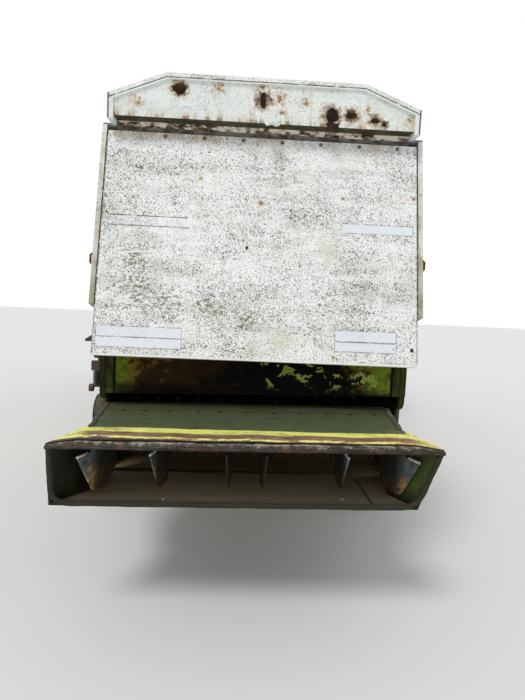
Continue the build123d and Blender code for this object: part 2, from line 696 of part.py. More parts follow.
def chopper_housing():
    half = WALL_IN - CHOPPER_PLATE
    inner = ROTOR_REACH + PAN_GAP
    outer = inner + SHEET
    low = ROTOR_Z - outer
    side = across([
        (CHOPPER_FRONT, CHOPPER_TOP), (CHOPPER_REAR, CHOPPER_TOP),
        (CHOPPER_REAR, CHOPPER_WALL_LOW - WALL_SAG),
        (HINGE_Y - 28, HINGE_Z - 25), (HINGE_Y + 25, HINGE_Z - 45), (PAN_LIP_Y, low), (ROTOR_Y + 170, low),
        (CHOPPER_FRONT, ROTOR_Z - 20),
    ], half, WALL_IN)
    side -= shaft(half - 5, WALL_IN + 5, ROTOR_Y, ROTOR_Z, ROTOR_SHAFT + SEAT)
    side -= shaft(half - 5, WALL_IN + 5, HINGE_Y, HINGE_Z, HINGE_R + SEAT)
    housing = along([(-half, CHOPPER_WALL_LOW - WALL_SAG), (half, CHOPPER_WALL_LOW + WALL_SAG),
                     (half, CHOPPER_WALL_TOP), (-half, CHOPPER_WALL_TOP)], CHOPPER_REAR,
                     CHOPPER_REAR + SHEET)
    for post in both_sides(block(WALL_IN - CHOPPER_POST, WALL_IN, CHOPPER_REAR - 10, CHOPPER_REAR,
                                 CHOPPER_WALL_LOW + WALL_SAG, CHOPPER_TOP)):
        housing += post
    pan = [(PAN_LIP_Y, ROTOR_Z - inner), *reversed(arc_points(ROTOR_Y, ROTOR_Z, inner, 0, 90, 10)),
           (ROTOR_Y + inner, CHOPPER_WALL_LOW), (ROTOR_Y + outer, CHOPPER_WALL_LOW),
           *arc_points(ROTOR_Y, ROTOR_Z, outer, 0, 90, 10), (PAN_LIP_Y, low)]
    housing += across(pan, -half, half)
    for plate in both_sides(side):
        housing += plate
    return housing


def chopper_rotor():
    half = WALL_IN - CHOPPER_PLATE
    rotor = shaft(-half + 12, half - 12, ROTOR_Y, ROTOR_Z, ROTOR_TUBE)
    rotor += shaft(-BODY_HALF - PULLEY_X, WALL_IN, ROTOR_Y, ROTOR_Z, ROTOR_SHAFT)
    rotor += pulley(-1, ROTOR_Y, ROTOR_Z, CHOPPER_PULLEY, 0)
    pitch = (2 * half - 180) / KNIVES_A_ROW
    length = ROTOR_REACH - ROTOR_TUBE
    knife = Pos(0, 0, ROTOR_TUBE + length / 2 - 4) * Box(8, 50, length + 8)
    knives = []
    for row in range(KNIFE_ROWS):
        for i in range(KNIVES_A_ROW):
            x = (i - (KNIVES_A_ROW - 1) / 2 + (row % 2 - 0.5) / 2) * pitch
            knives.append(Pos(x, ROTOR_Y, ROTOR_Z) * Rot(row * 360 / KNIFE_ROWS, 0, 0) * knife)
    return rotor + knives


def sag(x):
    """Height of the bent duct at an x, above its middle."""
    return DUCT_SAG * x / DUCT_REAR_TOP_HALF


def slung(outline, x0, x1):
    """A slab like across() that follows the bent duct."""
    ends = [make_face(Polyline(*[Vector(x + DUCT_SWAY, y, z + sag(x)) for y, z in outline], close=True))
            for x in (x0, x1)]
    return loft(ends, ruled=True)


def mouth_lean():
    """How far the mouth's plane moves forward for each mm down."""
    return (DUCT_FLOOR_REAR - DUCT_REAR) / (DUCT_REAR_TOP - DUCT_REAR_LOW)


def mixed(first, last, share):
    return [a + (b - a) * share for a, b in zip(first, last)]


def duct(inset, past):
    """The spreader's duct as a solid, straight and then flared, moved inwards and past both ends."""
    # y and height of the top and of the floor, then the floor's sway
    front = [DUCT_FRONT, DUCT_FRONT_TOP, DUCT_FRONT, DUCT_FRONT_LOW, 0.0]
    rear = [DUCT_REAR, DUCT_REAR_TOP, DUCT_FLOOR_REAR, DUCT_REAR_LOW, FLOOR_SWAY]
    # half widths of the flat top, the top's edge and the floor, and the edge's drop below the flat part
    front += [DUCT_FLAT_HALF * 0.95, DUCT_FRONT_HALF, DUCT_FRONT_HALF, 0.0]
    bend = mixed(front, rear, DUCT_BEND)[:5] + [DUCT_BEND_HALF * 0.96, DUCT_BEND_HALF, DUCT_BEND_HALF, 0.0]
    rear += [DUCT_FLAT_HALF, DUCT_REAR_TOP_HALF, DUCT_REAR_LOW_HALF, DUCT_REAR_TOP - DUCT_CORNER_TOP]
    faces = []
    for section in (mixed(bend, front, 1 + past), bend, mixed(bend, rear, 1 + past)):
        y_top, z_top, y_low, z_low, sway, flat, top, low, drop = section
        z_top, z_low = z_top - inset, z_low + inset
        y_edge = y_top + (y_low - y_top) * drop / (z_top - z_low)
        corners = [(-top + inset, y_edge, z_top - drop), (-flat, y_top, z_top), (flat, y_top, z_top),
                   (top - inset, y_edge, z_top - drop), (low - inset + sway, y_low, z_low),
                   (-low + inset + sway, y_low, z_low)]
        corners = [(x + DUCT_SWAY, y, z + sag(x)) for x, y, z in corners]
        faces.append(make_face(Polyline(*corners, close=True)))
    return loft(faces, ruled=True)


def spreader_shell():
    """Flared duct, open at both ends, hung from a pin along its front edge."""
    shell = duct(0, 0) - duct(DUCT_WALL, 0.08)
    top = DUCT_FRONT_TOP
    strip = [(DUCT_FRONT, top), (HINGE_Y + 8, top + 9), (HINGE_Y + 8, top - 3),
             (DUCT_FRONT, top - DUCT_WALL)]
    shell += slung(strip, -DUCT_FRONT_HALF + 7, DUCT_FRONT_HALF - 7)
    for x in (-0.88 * DUCT_FRONT_HALF, 0, 0.88 * DUCT_FRONT_HALF):
        foot = top + sag(x)
        shell += across([(HINGE_Y - 24, foot), (HINGE_Y + 8, foot + 4), (HINGE_Y + 20, HINGE_Z),
                         (HINGE_Y - 20, HINGE_Z)], x - 40, x + 40)
        shell += shaft(x - 40, x + 40, HINGE_Y, HINGE_Z, HINGE_R + 10)
    return shell + shaft(-WALL_IN, WALL_IN, HINGE_Y, HINGE_Z, HINGE_R)


# each vane's x at its rear end, distance ahead of the mouth, turn in degrees and length; the bent duct has
# carried the right-hand ones outwards
VANES = ((-781, 40, -20, 320), (-459, 100, -12, 270), (-98, 100, -5, 270),
         (98, 100, 5, 270), (490, 100, 3, 270), (812, 40, 22, 320))


def spreader_vanes():
    """Upright vanes under the top plate, fanned out from the middle; their slanted rear ends hang free."""
    inside = duct(DUCT_WALL + SEAT, 0)
    vanes = []
    for x, ahead, turn, length in VANES:
        blade = across([
            (0, -VANE_NOTCH), (VANE_WIDTH - 6, 5 - VANE_NOTCH), (VANE_WIDTH + 20, 90), (length, 90),
            (length, 90 - VANE_HEIGHT), (VANE_SLANT + VANE_WIDTH, 4 - VANE_HEIGHT),
            (VANE_SLANT + 14, -VANE_HEIGHT),
            (VANE_SLANT - 8, 18 - VANE_HEIGHT),
        ], -VANE_THICK / 2, VANE_THICK / 2)
        place = Pos(x + DUCT_SWAY, DUCT_REAR + ahead, DUCT_REAR_TOP + sag(x))
        vanes.append(place * Rot(0, 0, turn) * blade & inside)
    return Compound(vanes)


def spreader_lip():
    """Rusted folded edge along the top of the spreader's mouth, bent down at both ends."""
    corner, flat = (DUCT_CORNER_TOP, RIM_END), (DUCT_REAR_TOP, RIM_HEIGHT)
    faces = []
    for x, (top, height) in ((-DUCT_REAR_TOP_HALF, corner), (-DUCT_FLAT_HALF, flat), (DUCT_FLAT_HALF, flat),
                             (DUCT_REAR_TOP_HALF, corner)):
        near = DUCT_REAR + (DUCT_REAR_TOP - top) * mouth_lean()
        low = top - height
        profile = [(near, top), (near - RIM_THICK, top - 6), (near - RIM_THICK, low - 6),
                   (near + height * mouth_lean(), low)]
        points = [Vector(x + DUCT_SWAY, y, z + sag(x)) for y, z in profile]
        faces.append(make_face(Polyline(*points, close=True)))
    return loft(faces, ruled=True)


def belt_tensioner():
    """Spring rod hung in a hook and held by a pin, at the chopper's left side."""
    x, y, z = -WALL_IN, HINGE_Y + 15, CHOPPER_WALL_LOW
    parts = [
        shaft(x - 72, x, y, z + 8, 9), shaft(x - 72, x - 50, y, z - 6, 20),
        bar((x - 34, y, z + 8), (x - 34, y, z + 140), 12),
        block(x - 60, x - 16, y - 15, y + 15, z + 92, z + 146),
        block(x - 26, x, y - 10, y + 10, z + 120, z + 178), shaft(x - 46, x - 20, y, z + 180, 19),
    ]
    return parts[0] + parts[1:]


# Belt drives outside the body

CHOPPER_PULLEY = 105.0
# side, then y, z and radius of the driving and the driven pulley
DRIVES = (
    (-1, (-3000, 1450, 180), (ROTOR_Y, ROTOR_Z, CHOPPER_PULLEY)),
    (1, (-1300, 1650, 220), (-2300, 1120, 130)),
)


def pulley(side, y, z, radius, hub):
    """Flanged pulley beside the body, with a hub that reaches in to its side."""
    x, half = BODY_HALF + PULLEY_X, BELT_WIDTH / 2 + 1
    wheel = turned([(x - half - 6, 0), (x - half - 6, radius + 10), (x - half, radius + 10),
                    (x - half, radius),
                    (x + half, radius), (x + half, radius + 10), (x + half + 6, radius + 10),
                    (x + half + 6, 0)],
                   0, y, z)
    if hub:
        wheel += shaft(BODY_HALF, x, y, z, hub)
    return wheel if side > 0 else mirror(wheel, Plane.YZ)


def belt(side, first, second):
    """Open loop round two pulleys."""
    (y1, z1, r1), (y2, z2, r2) = first, second
    x = BODY_HALF + PULLEY_X
    distance, heading = hypot(y2 - y1, z2 - z1), atan2(z2 - z1, y2 - y1)

    def solid(grow):
        tilt = acos((r1 - r2) / distance)
        corners = [(y + (r + grow) * cos(heading + s * tilt), z + (r + grow) * sin(heading + s * tilt))
                   for y, z, r, s in ((y1, z1, r1, 1), (y2, z2, r2, 1), (y2, z2, r2, -1), (y1, z1, r1, -1))]
        shape = across(corners, x - BELT_WIDTH / 2, x + BELT_WIDTH / 2)
        for y, z, r in (first, second):
            shape += shaft(x - BELT_WIDTH / 2, x + BELT_WIDTH / 2, y, z, r + grow)
        return shape

    loop = solid(SEAT + BELT_THICK) - solid(SEAT)
    return loop if side > 0 else mirror(loop, Plane.YZ)


def belt_drives():
    pieces = []
    for side, first, second in DRIVES:
        pieces.append(belt(side, first, second))
        pieces.append(pulley(side, *first, 60))
        if second[2] != CHOPPER_PULLEY:
            pieces.append(pulley(side, *second, 50))
    return Compound([solid for piece in pieces for solid in piece.solids()])


def side_shields():
    """Sheet panels on stand-offs along both sides, and the dark guards behind them."""
    panel = across([(SHIELD_REAR, SHIELD_LOW), (SHIELD_REAR, SHIELD_TOP), (SHIELD_FRONT - 150, SHIELD_TOP),
                    (SHIELD_FRONT, SHIELD_TOP - 150), (SHIELD_FRONT, SHIELD_LOW)], SHIELD_X,
                    SHIELD_X + SHIELD_SHEET)
    for y in (SHIELD_REAR + 100, SHIELD_FRONT - 180):
        for z in (SHIELD_LOW + 70, SHIELD_TOP - 60):
            panel += shaft(BODY_HALF, SHIELD_X, y, z, STANDOFF_R)
    guard = along([(BODY_HALF, 1515), (BODY_HALF + 310, 1310), (BODY_HALF + 310, 1295), (BODY_HALF, 1295)],
                  BODY_REAR - 350, BODY_REAR - 10)
    return Compound([*both_sides(panel), *both_sides(guard)])


def elevators():
    """Clean grain elevator on the right, returns elevator slanting up on the left."""
    half = ELEVATOR_DEPTH / 2
    right = block(TANK_HALF, TANK_HALF + ELEVATOR_WIDTH, ELEVATOR_Y - half, ELEVATOR_Y + half, ELEVATOR_LOW,
                  ELEVATOR_TOP)
    right += block(BODY_HALF, TANK_HALF, ELEVATOR_Y - half, ELEVATOR_Y + half, ELEVATOR_LOW,
                   ELEVATOR_LOW + 220)
    right += across([(ELEVATOR_Y - half, ELEVATOR_TOP), (ELEVATOR_Y - half + 60, ELEVATOR_TOP + 90),
                     (ELEVATOR_Y + half - 60, ELEVATOR_TOP + 90), (ELEVATOR_Y + half, ELEVATOR_TOP)],
                    TANK_HALF, TANK_HALF + ELEVATOR_WIDTH)
    left = across([(-2680, 860), (-2580, 760), (-700, 1930), (-700, 2070), (-780, 2080)],
                  -BODY_HALF - 120, -BODY_HALF)
    return Compound([right, left])


def fuel_tank():
    front, top = FUEL_REAR + FUEL_LENGTH, TANK_BOTTOM + FUEL_HEIGHT
    tank = block(BODY_HALF, BODY_HALF + FUEL_WIDTH, FUEL_REAR, front, TANK_BOTTOM, top)
    filler = (BODY_HALF + 0.65 * FUEL_WIDTH, front - 80)
    return tank + bar((*filler, top), (*filler, top + 40), 45)


# Grain tank and unloading auger

def tank_outline(inset, top):
    return [(-BODY_HALF + inset, BODY_TOP + inset), (-TANK_HALF + inset, BODY_TOP + TANK_SLOPE),
            (-TANK_HALF + inset, top), (TANK_HALF - inset, top),
            (TANK_HALF - inset, BODY_TOP + TANK_SLOPE), (BODY_HALF - inset, BODY_TOP + inset)]


def grain_tank():
    outer = along(tank_outline(0, TANK_TOP), TANK_REAR, TANK_FRONT)
    return outer - along(tank_outline(TANK_WALL, TANK_TOP + 5), TANK_REAR + TANK_WALL,
                         TANK_FRONT - TANK_WALL)


def tank_fill_auger():
    floor, middle = BODY_TOP + TANK_WALL, (TANK_FRONT + TANK_REAR) / 2
    top = TANK_TOP - 350
    piece = bar((0, middle, floor), (0, middle, top), FILL_R)
    piece += Pos(0, middle, top + 140) * Cone(2.1 * FILL_R, 50, 60)
    for a in range(3):
        strut = block(FILL_R - 35, FILL_R - 15, -15, 15, top - 5, top + 120)
        piece += Pos(0, middle, 0) * Rot(0, 0, a * 120) * strut
    return piece


def unload_riser():
    """Fixed outlet pipe from the body's side, turned up to carry the swinging tube."""
    top = TURN_Z - SEAT
    pipe = shaft(-BODY_HALF, UNLOAD_X, UNLOAD_Y, OUTLET_Z, UNLOAD_R - 10)
    pipe += bar((UNLOAD_X, UNLOAD_Y, OUTLET_Z - UNLOAD_R), (UNLOAD_X, UNLOAD_Y, top), UNLOAD_R)
    return pipe + bar((UNLOAD_X, UNLOAD_Y, top - 30), (UNLOAD_X, UNLOAD_Y, top), UNLOAD_R + COLLAR)


def unload_point(distance, drop=0.0):
    """A point at a distance along the folded tube's axis, and below it."""
    rise = radians(UNLOAD_RISE)
    return (UNLOAD_X, UNLOAD_Y - distance * cos(rise), TURN_Z + ELBOW_HEIGHT + distance * sin(rise) - drop)


def unload_tube():
    collar = bar((UNLOAD_X, UNLOAD_Y, TURN_Z), (UNLOAD_X, UNLOAD_Y, TURN_Z + 30), UNLOAD_R + COLLAR)
    elbow = bar((UNLOAD_X, UNLOAD_Y, TURN_Z), (UNLOAD_X, UNLOAD_Y, TURN_Z + ELBOW_HEIGHT), UNLOAD_R)
    elbow += Pos(UNLOAD_X, UNLOAD_Y, TURN_Z + ELBOW_HEIGHT) * Sphere(UNLOAD_R + 8)
    tube = bar(unload_point(0), unload_point(UNLOAD_LENGTH), UNLOAD_R)
    flange = bar(unload_point(UNLOAD_LENGTH / 2), unload_point(UNLOAD_LENGTH / 2 + 25), UNLOAD_R + 15)
    return collar + elbow + tube + flange


def unload_spout():
    """Rubber boot under the tube's end."""
    x, y, z = unload_point(UNLOAD_LENGTH - 130)
    low = z - UNLOAD_R - 300
    boot = across([(y + 110, z - 0.6 * UNLOAD_R), (y - 110, z - 0.2 * UNLOAD_R), (y - 160, low),
                   (y + 70, low)],
                  x - 0.85 * UNLOAD_R, x + 0.85 * UNLOAD_R)
    return boot - bar(unload_point(UNLOAD_LENGTH - 500), unload_point(UNLOAD_LENGTH + 200), UNLOAD_R + SEAT)


# Engine deck

def engine_block():
    return block(-420, 420, ENGINE_REAR + 250, ENGINE_FRONT - 250, BODY_TOP, ENGINE_TOP - 180)


def engine_cover():
    """Sheet cover over the engine with its louvres, open below."""
    def outline(inset, foot):
        half, top, edge = ENGINE_HALF - inset, ENGINE_TOP - inset, ENGINE_SHOULDER - 0.4 * inset
        return [(-half, foot), (-half, top - edge), (-half + edge, top), (half - edge, top),
                (half, top - edge),
                (half, foot)]

    cover = along(outline(0, BODY_TOP), ENGINE_REAR, ENGINE_FRONT)
    cover -= along(outline(SHEET, BODY_TOP - 1), ENGINE_REAR + SHEET, ENGINE_FRONT - SHEET)
    for i in range(6):
        z = BODY_TOP + 150 + i * 65
        cover -= block(-ENGINE_HALF - 5, -ENGINE_HALF + SHEET + 5, ENGINE_REAR + 200,
                       ENGINE_FRONT - 200, z, z + 26)
    return cover - shaft(ENGINE_HALF - SHEET - 5, ENGINE_HALF + 5, SCREEN_Y, SCREEN_Z, SCREEN_SHAFT + SEAT)


def dust_screen():
    """Turning screen over the radiator's air inlet on the right."""
    x = ENGINE_HALF + CLEAR
    drum = turned([(0, 0), (0, SCREEN_R), (70, SCREEN_R - 20), (85, SCREEN_R - 60), (85, 0)], x,
                  SCREEN_Y, SCREEN_Z)
    return drum + shaft(ENGINE_HALF - SHEET, x + 5, SCREEN_Y, SCREEN_Z, SCREEN_SHAFT)


def exhaust_stack():
    stack = None
    # height above the cover at the bottom and top of each length, and its radius
    for low, high, radius in ((0, 60, 60), (60, 420, 85), (420, 620, 38)):
        piece = bar((STACK_X, STACK_Y, ENGINE_TOP + low), (STACK_X, STACK_Y, ENGINE_TOP + high), radius)
        stack = piece if stack is None else stack + piece
    return stack


# Cab

def screen_y(z):
    """The windscreen frame's outer face at a height."""
    return CAB_FRONT + CAB_LEAN * (z - FLOOR_Z) / (CAB_TOP - FLOOR_Z)


def door_hinge(z):
    """Lugs and pin on the door post for one hinge."""
    x, y = -CAB_HALF - 15, DOOR_REAR
    lug = bar((x, y, z - 60), (x, y, z - 40 - SEAT), DOOR_HINGE_R)
    lug += block(x, -CAB_HALF, y - 20, y, z - 60, z - 40 - SEAT)
    lug += bar((x, y, z + 40 + SEAT), (x, y, z + 60), DOOR_HINGE_R)
    lug += block(x, -CAB_HALF, y - 20, y, z + 40 + SEAT, z + 60)
    return lug + bar((x, y, z - 60), (x, y, z + 60), DOOR_PIN_R)


DOOR_HINGES = (DOOR_LOW + 200, DOOR_TOP - 200)


def cab_frame():
    """Floor, posts and lower panels, with the door's hinge pins and the mirrors."""
    wall, top = CAB_WALL, CAB_TOP
    frame = across([(CAB_REAR, BODY_TOP), (screen_y(BODY_TOP), BODY_TOP), (screen_y(top), top),
                    (CAB_REAR, top)],
                   -CAB_HALF, CAB_HALF)
    frame -= across([(CAB_REAR + wall, FLOOR_Z), (screen_y(FLOOR_Z) - wall, FLOOR_Z),
                     (screen_y(top + 10) - wall, top + 10), (CAB_REAR + wall, top + 10)],
                    -CAB_HALF + wall, CAB_HALF - wall)
    side = CAB_HALF - wall - 5
    frame -= block(-CAB_HALF + POST, CAB_HALF - POST, CAB_FRONT - 100, CAB_FRONT + 200, SCREEN_SILL_Z,
                   top - POST)
    frame -= block(-CAB_HALF + POST, CAB_HALF - POST, CAB_REAR - 5, CAB_REAR + 100, SILL_Z, top - POST)
    frame -= block(side, CAB_HALF + 5, CAB_REAR + 2 * POST, CAB_FRONT - POST - 20, SILL_Z, top - POST)
    frame -= block(-CAB_HALF - 5, -side, DOOR_REAR, DOOR_FRONT, DOOR_LOW, DOOR_TOP)
    frame -= block(-CAB_HALF - 5, -side, DOOR_FRONT + POST, CAB_FRONT - POST - 20, SILL_Z, DOOR_TOP)
    for z in DOOR_HINGES:
        frame += door_hinge(z)
    y, z = screen_y(MIRROR_Z) - 30, MIRROR_Z
    for side in (-1, 1):
        frame += bar((side * (CAB_HALF - 10), y, z), (side * (CAB_HALF + 300), y + 120, z), 12)
        frame += block(side * (CAB_HALF + 200), side * (CAB_HALF + 380), y + 105, y + 130,
                       z - 0.53 * MIRROR_HEIGHT, z + 0.47 * MIRROR_HEIGHT)
    return frame


def cab_roof():
    front, rear = screen_y(CAB_TOP), CAB_REAR
    roof = across([(rear - 60, CAB_TOP), (front + 120, CAB_TOP), (front + 120, CAB_TOP + 90),
                   (front, CAB_TOP + CAB_ROOF), (rear + 40, CAB_TOP + CAB_ROOF), (rear - 60, CAB_TOP + 90)],
                  -CAB_HALF - 50, CAB_HALF + 50)
    return roof


def cab_glass():
    """The fixed panes, each inside its opening."""
    low, high = SCREEN_SILL_Z + SEAT, CAB_TOP - POST - SEAT
    wide, top = CAB_HALF - POST - SEAT, CAB_TOP - POST - SEAT
    screen = across([(screen_y(low) - 28, low), (screen_y(low) - 28 + GLASS, low),
                     (screen_y(high) - 28 + GLASS, high), (screen_y(high) - 28, high)], -wide, wide)
    rear = block(-wide, wide, CAB_REAR + 20, CAB_REAR + 20 + GLASS, SILL_Z + SEAT, top)
    side_rear, side_front = CAB_REAR + 2 * POST + SEAT, CAB_FRONT - POST - 20 - SEAT
    right = block(CAB_HALF - 30, CAB_HALF - 30 + GLASS, side_rear, side_front, SILL_Z + SEAT, top)
    left = block(-CAB_HALF + 30 - GLASS, -CAB_HALF + 30, DOOR_FRONT + POST + SEAT, side_front,
                 SILL_Z + SEAT,
                 DOOR_TOP - SEAT)
    return Compound([screen, rear, right, left])


def cab_door():
    x0, x1 = -CAB_HALF, -CAB_HALF + DOOR_THICK
    rear, front = DOOR_REAR + CLEAR, DOOR_FRONT - CLEAR
    door = block(x0, x1, rear, front, DOOR_LOW + CLEAR, DOOR_TOP - CLEAR)
    door -= block(x0 - 5, x1 + 5, rear + POST, front - POST, SILL_Z - 50, DOOR_TOP - CLEAR - POST)
    axis = x0 - 15
    for z in DOOR_HINGES:
        door += block(axis, x0, DOOR_REAR, rear + 50, z - 40, z + 40)
        door += bar((axis, DOOR_REAR, z - 40), (axis, DOOR_REAR, z + 40), DOOR_HINGE_R)
        door -= bar((axis, DOOR_REAR, z - 45), (axis, DOOR_REAR, z + 45), DOOR_PIN_R + SEAT)
    y = front - POST + 15
    high = HANDLE_LOW + HANDLE_LENGTH
    door += bar((x0 - 35, y, HANDLE_LOW), (x0 - 35, y, high), 8)
    for z in (HANDLE_LOW + 8, high - 8):
        door += bar((x0 - 40, y, z), (x0 + 5, y, z), 8)
    return door


def cab_door_glass():
    rear, front = DOOR_REAR + CLEAR + POST + SEAT, DOOR_FRONT - CLEAR - POST - SEAT
    return block(-CAB_HALF + 16, -CAB_HALF + 16 + GLASS, rear, front, SILL_Z - 50 + SEAT,
                 DOOR_TOP - CLEAR - POST - SEAT)


def driver_seat():
    z = FLOOR_Z
    seat = block(-200, 200, 330, 690, z, z + 262)
    return seat + across([(280, z + 260), (770, z + 260), (790, z + 370), (400, z + 390), (330, z + 900),
                          (210, z + 890)], -250, 250)


def steering_column():
    foot, head = (0, 1330, FLOOR_Z), (0, 1080, FLOOR_Z + 720)
    tilt = degrees(atan2(foot[1] - head[1], head[2] - foot[2]))
    column = bar((0, 1330, FLOOR_Z + 20), head, 40) + block(-70, 70, 1260, 1400, FLOOR_Z, FLOOR_Z + 30)
    section = Plane.XZ * Pos(STEER_R, 0) * RegularPolygon(15, 6)
    wheel = revolve(section, Axis.Z, 360) + Cylinder(45, 30)
    for a in range(3):
        wheel += Rot(0, 0, 90 + a * 120) * Pos(110, 0, 0) * Box(180, 24, 12)
    return column + Pos(*head) * Rot(tilt, 0, 0) * wheel


def work_lamps():
    lamps = []
    z, y = CAB_TOP + CAB_ROOF, screen_y(CAB_TOP) - 120
    for x in (-600, -330, 330, 600):
        lamp = block(x - 15, x + 15, y - 15, y + 15, z, z + 40)
        lamp += block(x - 75, x + 75, y - 40, y + 50, z + 35, z + 145)
        lamps.append(lamp)
    return Compound(lamps)


def platform_ladder():
    """Platform outside the door with its rail, and the ladder ahead of the front wheel."""
    z = BODY_TOP - DECK_THICK
    deck = block(-DECK_OUT, -BODY_HALF, DECK_REAR, DECK_FRONT, z, BODY_TOP)
    deck += block(-BODY_HALF - 1, -CAB_HALF + 60, BODY_FRONT + 5, DECK_FRONT, z, BODY_TOP)
    x = -DECK_OUT + RAIL_R + 4
    top = BODY_TOP + RAIL_HEIGHT
    posts = (DECK_REAR + 30, (DECK_REAR + DECK_FRONT) / 2, DECK_FRONT - 30)
    for y in posts:
        deck += bar((x, y, z), (x, y, top), RAIL_R - 2)
    for height in (top, BODY_TOP + RAIL_HEIGHT / 2):
        deck += bar((x, posts[0] - RAIL_R, height), (x, posts[-1] + RAIL_R, height), RAIL_R)
    stile = 24.0
    front = DECK_FRONT + 70
    for edge in (-LADDER_OUT, -LADDER_OUT + LADDER_WIDTH):
        deck += block(edge, edge + stile, DECK_FRONT - 1, front, LADDER_LOW, BODY_TOP)
    rise = (BODY_TOP - LADDER_LOW) / RUNGS
    for i in range(RUNGS):
        rung = LADDER_LOW + 20 + i * rise
        deck += block(-LADDER_OUT, -LADDER_OUT + LADDER_WIDTH + stile, DECK_FRONT, front, rung, rung + 30)
    return deck


# Feeder house, header and reel

def feeder_outline(inset):
    back = HEADER_BACK + 2 * inset
    drum = FEED_DRUM - inset
    top = arc_points(FEED_Y, FEED_Z, drum, -180, -80, 6)
    return [*top, (back, FEED_MOUTH_TOP - 1.3 * inset),
            (back, FEED_MOUTH_LOW + inset), (HEADER_BACK - 200, FEED_MOUTH_LOW - 20 + 1.1 * inset),
            (FEED_Y - 140 + inset, FEED_Z - 320 + 0.4 * inset)]


def feeder_house():
    """Sloping elevator housing, open at the header's end, with its top shaft and cylinder lugs."""
    house = across(feeder_outline(0), -FEED_HALF, FEED_HALF)
    house -= across(feeder_outline(SHEET), -FEED_HALF + SHEET, FEED_HALF - SHEET)
    for side in (-1, 1):
        house += shaft(side * (FEED_HALF - SHEET), side * (FEED_HALF + CLEAR + EAR), FEED_Y, FEED_Z,
                       FEED_SHAFT)
    reach = LIFT_PIN_R + 22
    lugs = across([(LIFT_EYE_Y - 115, LIFT_EYE_Z + 215), (LIFT_EYE_Y - reach, LIFT_EYE_Z),
                   (LIFT_EYE_Y, LIFT_EYE_Z - reach),
                   (LIFT_EYE_Y + reach, LIFT_EYE_Z - 10), (LIFT_EYE_Y + 105, LIFT_EYE_Z + 5)], 0, 25)
    lugs -= across(feeder_outline(1), -5, 30)
    for x in (LIFT_X - 62, LIFT_X + 37):
        for piece in both_sides(Pos(x, 0, 0) * lugs):
            house += piece
    for piece in both_sides(shaft(LIFT_X - 62, LIFT_X + 62, LIFT_EYE_Y, LIFT_EYE_Z, LIFT_PIN_R)):
        house += piece
    return house


def lift_point(distance):
    """A point of the lift cylinder's axis at a distance from its chassis pin."""
    length = hypot(LIFT_EYE_Y - LIFT_PIN_Y, LIFT_EYE_Z - LIFT_PIN_Z)
    share = distance / length
    return (LIFT_X, LIFT_PIN_Y + share * (LIFT_EYE_Y - LIFT_PIN_Y),
            LIFT_PIN_Z + share * (LIFT_EYE_Z - LIFT_PIN_Z))


def lift_barrels():
    barrel = bar(lift_point(0), lift_point(BARREL_LENGTH), BARREL_R)
    barrel += shaft(LIFT_X - 30, LIFT_X + 30, LIFT_PIN_Y, LIFT_PIN_Z, BARREL_R)
    barrel -= bar(lift_point(BARREL_R + 25), lift_point(BARREL_LENGTH + 5), ROD_R + SEAT)
    barrel -= shaft(LIFT_X - BARREL_R - 2, LIFT_X + BARREL_R + 2, LIFT_PIN_Y, LIFT_PIN_Z, LIFT_PIN_R + SEAT)
    return Compound(both_sides(barrel))


def lift_rods():
    length = hypot(LIFT_EYE_Y - LIFT_PIN_Y, LIFT_EYE_Z - LIFT_PIN_Z)
    hole = LIFT_PIN_R + LIFT_EYE_GAP
    rod = bar(lift_point(BARREL_R + 40), lift_point(length), ROD_R)
    rod += shaft(LIFT_X - 30, LIFT_X + 30, LIFT_EYE_Y, LIFT_EYE_Z, hole + 14)
    rod -= shaft(LIFT_X - 35, LIFT_X + 35, LIFT_EYE_Y, LIFT_EYE_Z, hole)
    return Compound(both_sides(rod))


def header_trough():
    """Back wall, curved trough and end walls with their dividers."""
    back, sheet = HEADER_BACK, HEADER_SHEET
    inner, outer = AUGER_R + AUGER_GAP, AUGER_R + AUGER_GAP + sheet
    lip_y, lip_z = KNIFE_Y - 90, KNIFE_Z + 12
    trough = across([
        (back + sheet, HEADER_TOP), (back + sheet, AUGER_Z + 60),
        *arc_points(AUGER_Y, AUGER_Z, inner, 170, 90, 6),
        (lip_y, lip_z), (lip_y, lip_z - sheet), *arc_points(AUGER_Y, AUGER_Z, outer, 90, 165, 6),
        (back, AUGER_Z - 40), (back, HEADER_TOP)], -HEADER_HALF, HEADER_HALF)
    mouth = FEED_HALF - SHEET
    trough -= block(-mouth, mouth, back - 5, back + 60, FEED_MOUTH_LOW + 130, FEED_MOUTH_TOP - SHEET)
    wall = across([(back, HEADER_TOP), (back, AUGER_Z - 220), (back + 200, KNIFE_Z - 20),
                   (KNIFE_Y, KNIFE_Z - 40),
                   (DIVIDER_TIP, KNIFE_Z - 20), (DIVIDER_TIP, KNIFE_Z + 40),
                   (KNIFE_Y + 50, DIVIDER_SHOULDER),
                   (back + 350, HEADER_TOP)],
                  HEADER_HALF - sheet, HEADER_HALF)
    # reel arm bracket on the end wall
    wall += across([(back, HEADER_TOP - 5), (back, ARM_Z - 20), (ARM_Y - 20, ARM_Z + 45),
                    (ARM_Y + 45, ARM_Z + 20),
                    (ARM_Y + 90, HEADER_TOP - 5)], HEADER_HALF - sheet, HEADER_HALF)
    wall -= shaft(HEADER_HALF - sheet - 5, HEADER_HALF + 5, ARM_Y, ARM_Z, ARM_PIN + SEAT)
    wall -= shaft(HEADER_HALF - sheet - 5, HEADER_HALF + 5, AUGER_Y, AUGER_Z, 40 + SEAT)
    for side in both_sides(wall):
        trough += side
    # box beam behind the mouth's top edge
    return trough + block(-HEADER_HALF + 40, HEADER_HALF - 40, back - 90, back, HEADER_TOP - 90, HEADER_TOP)


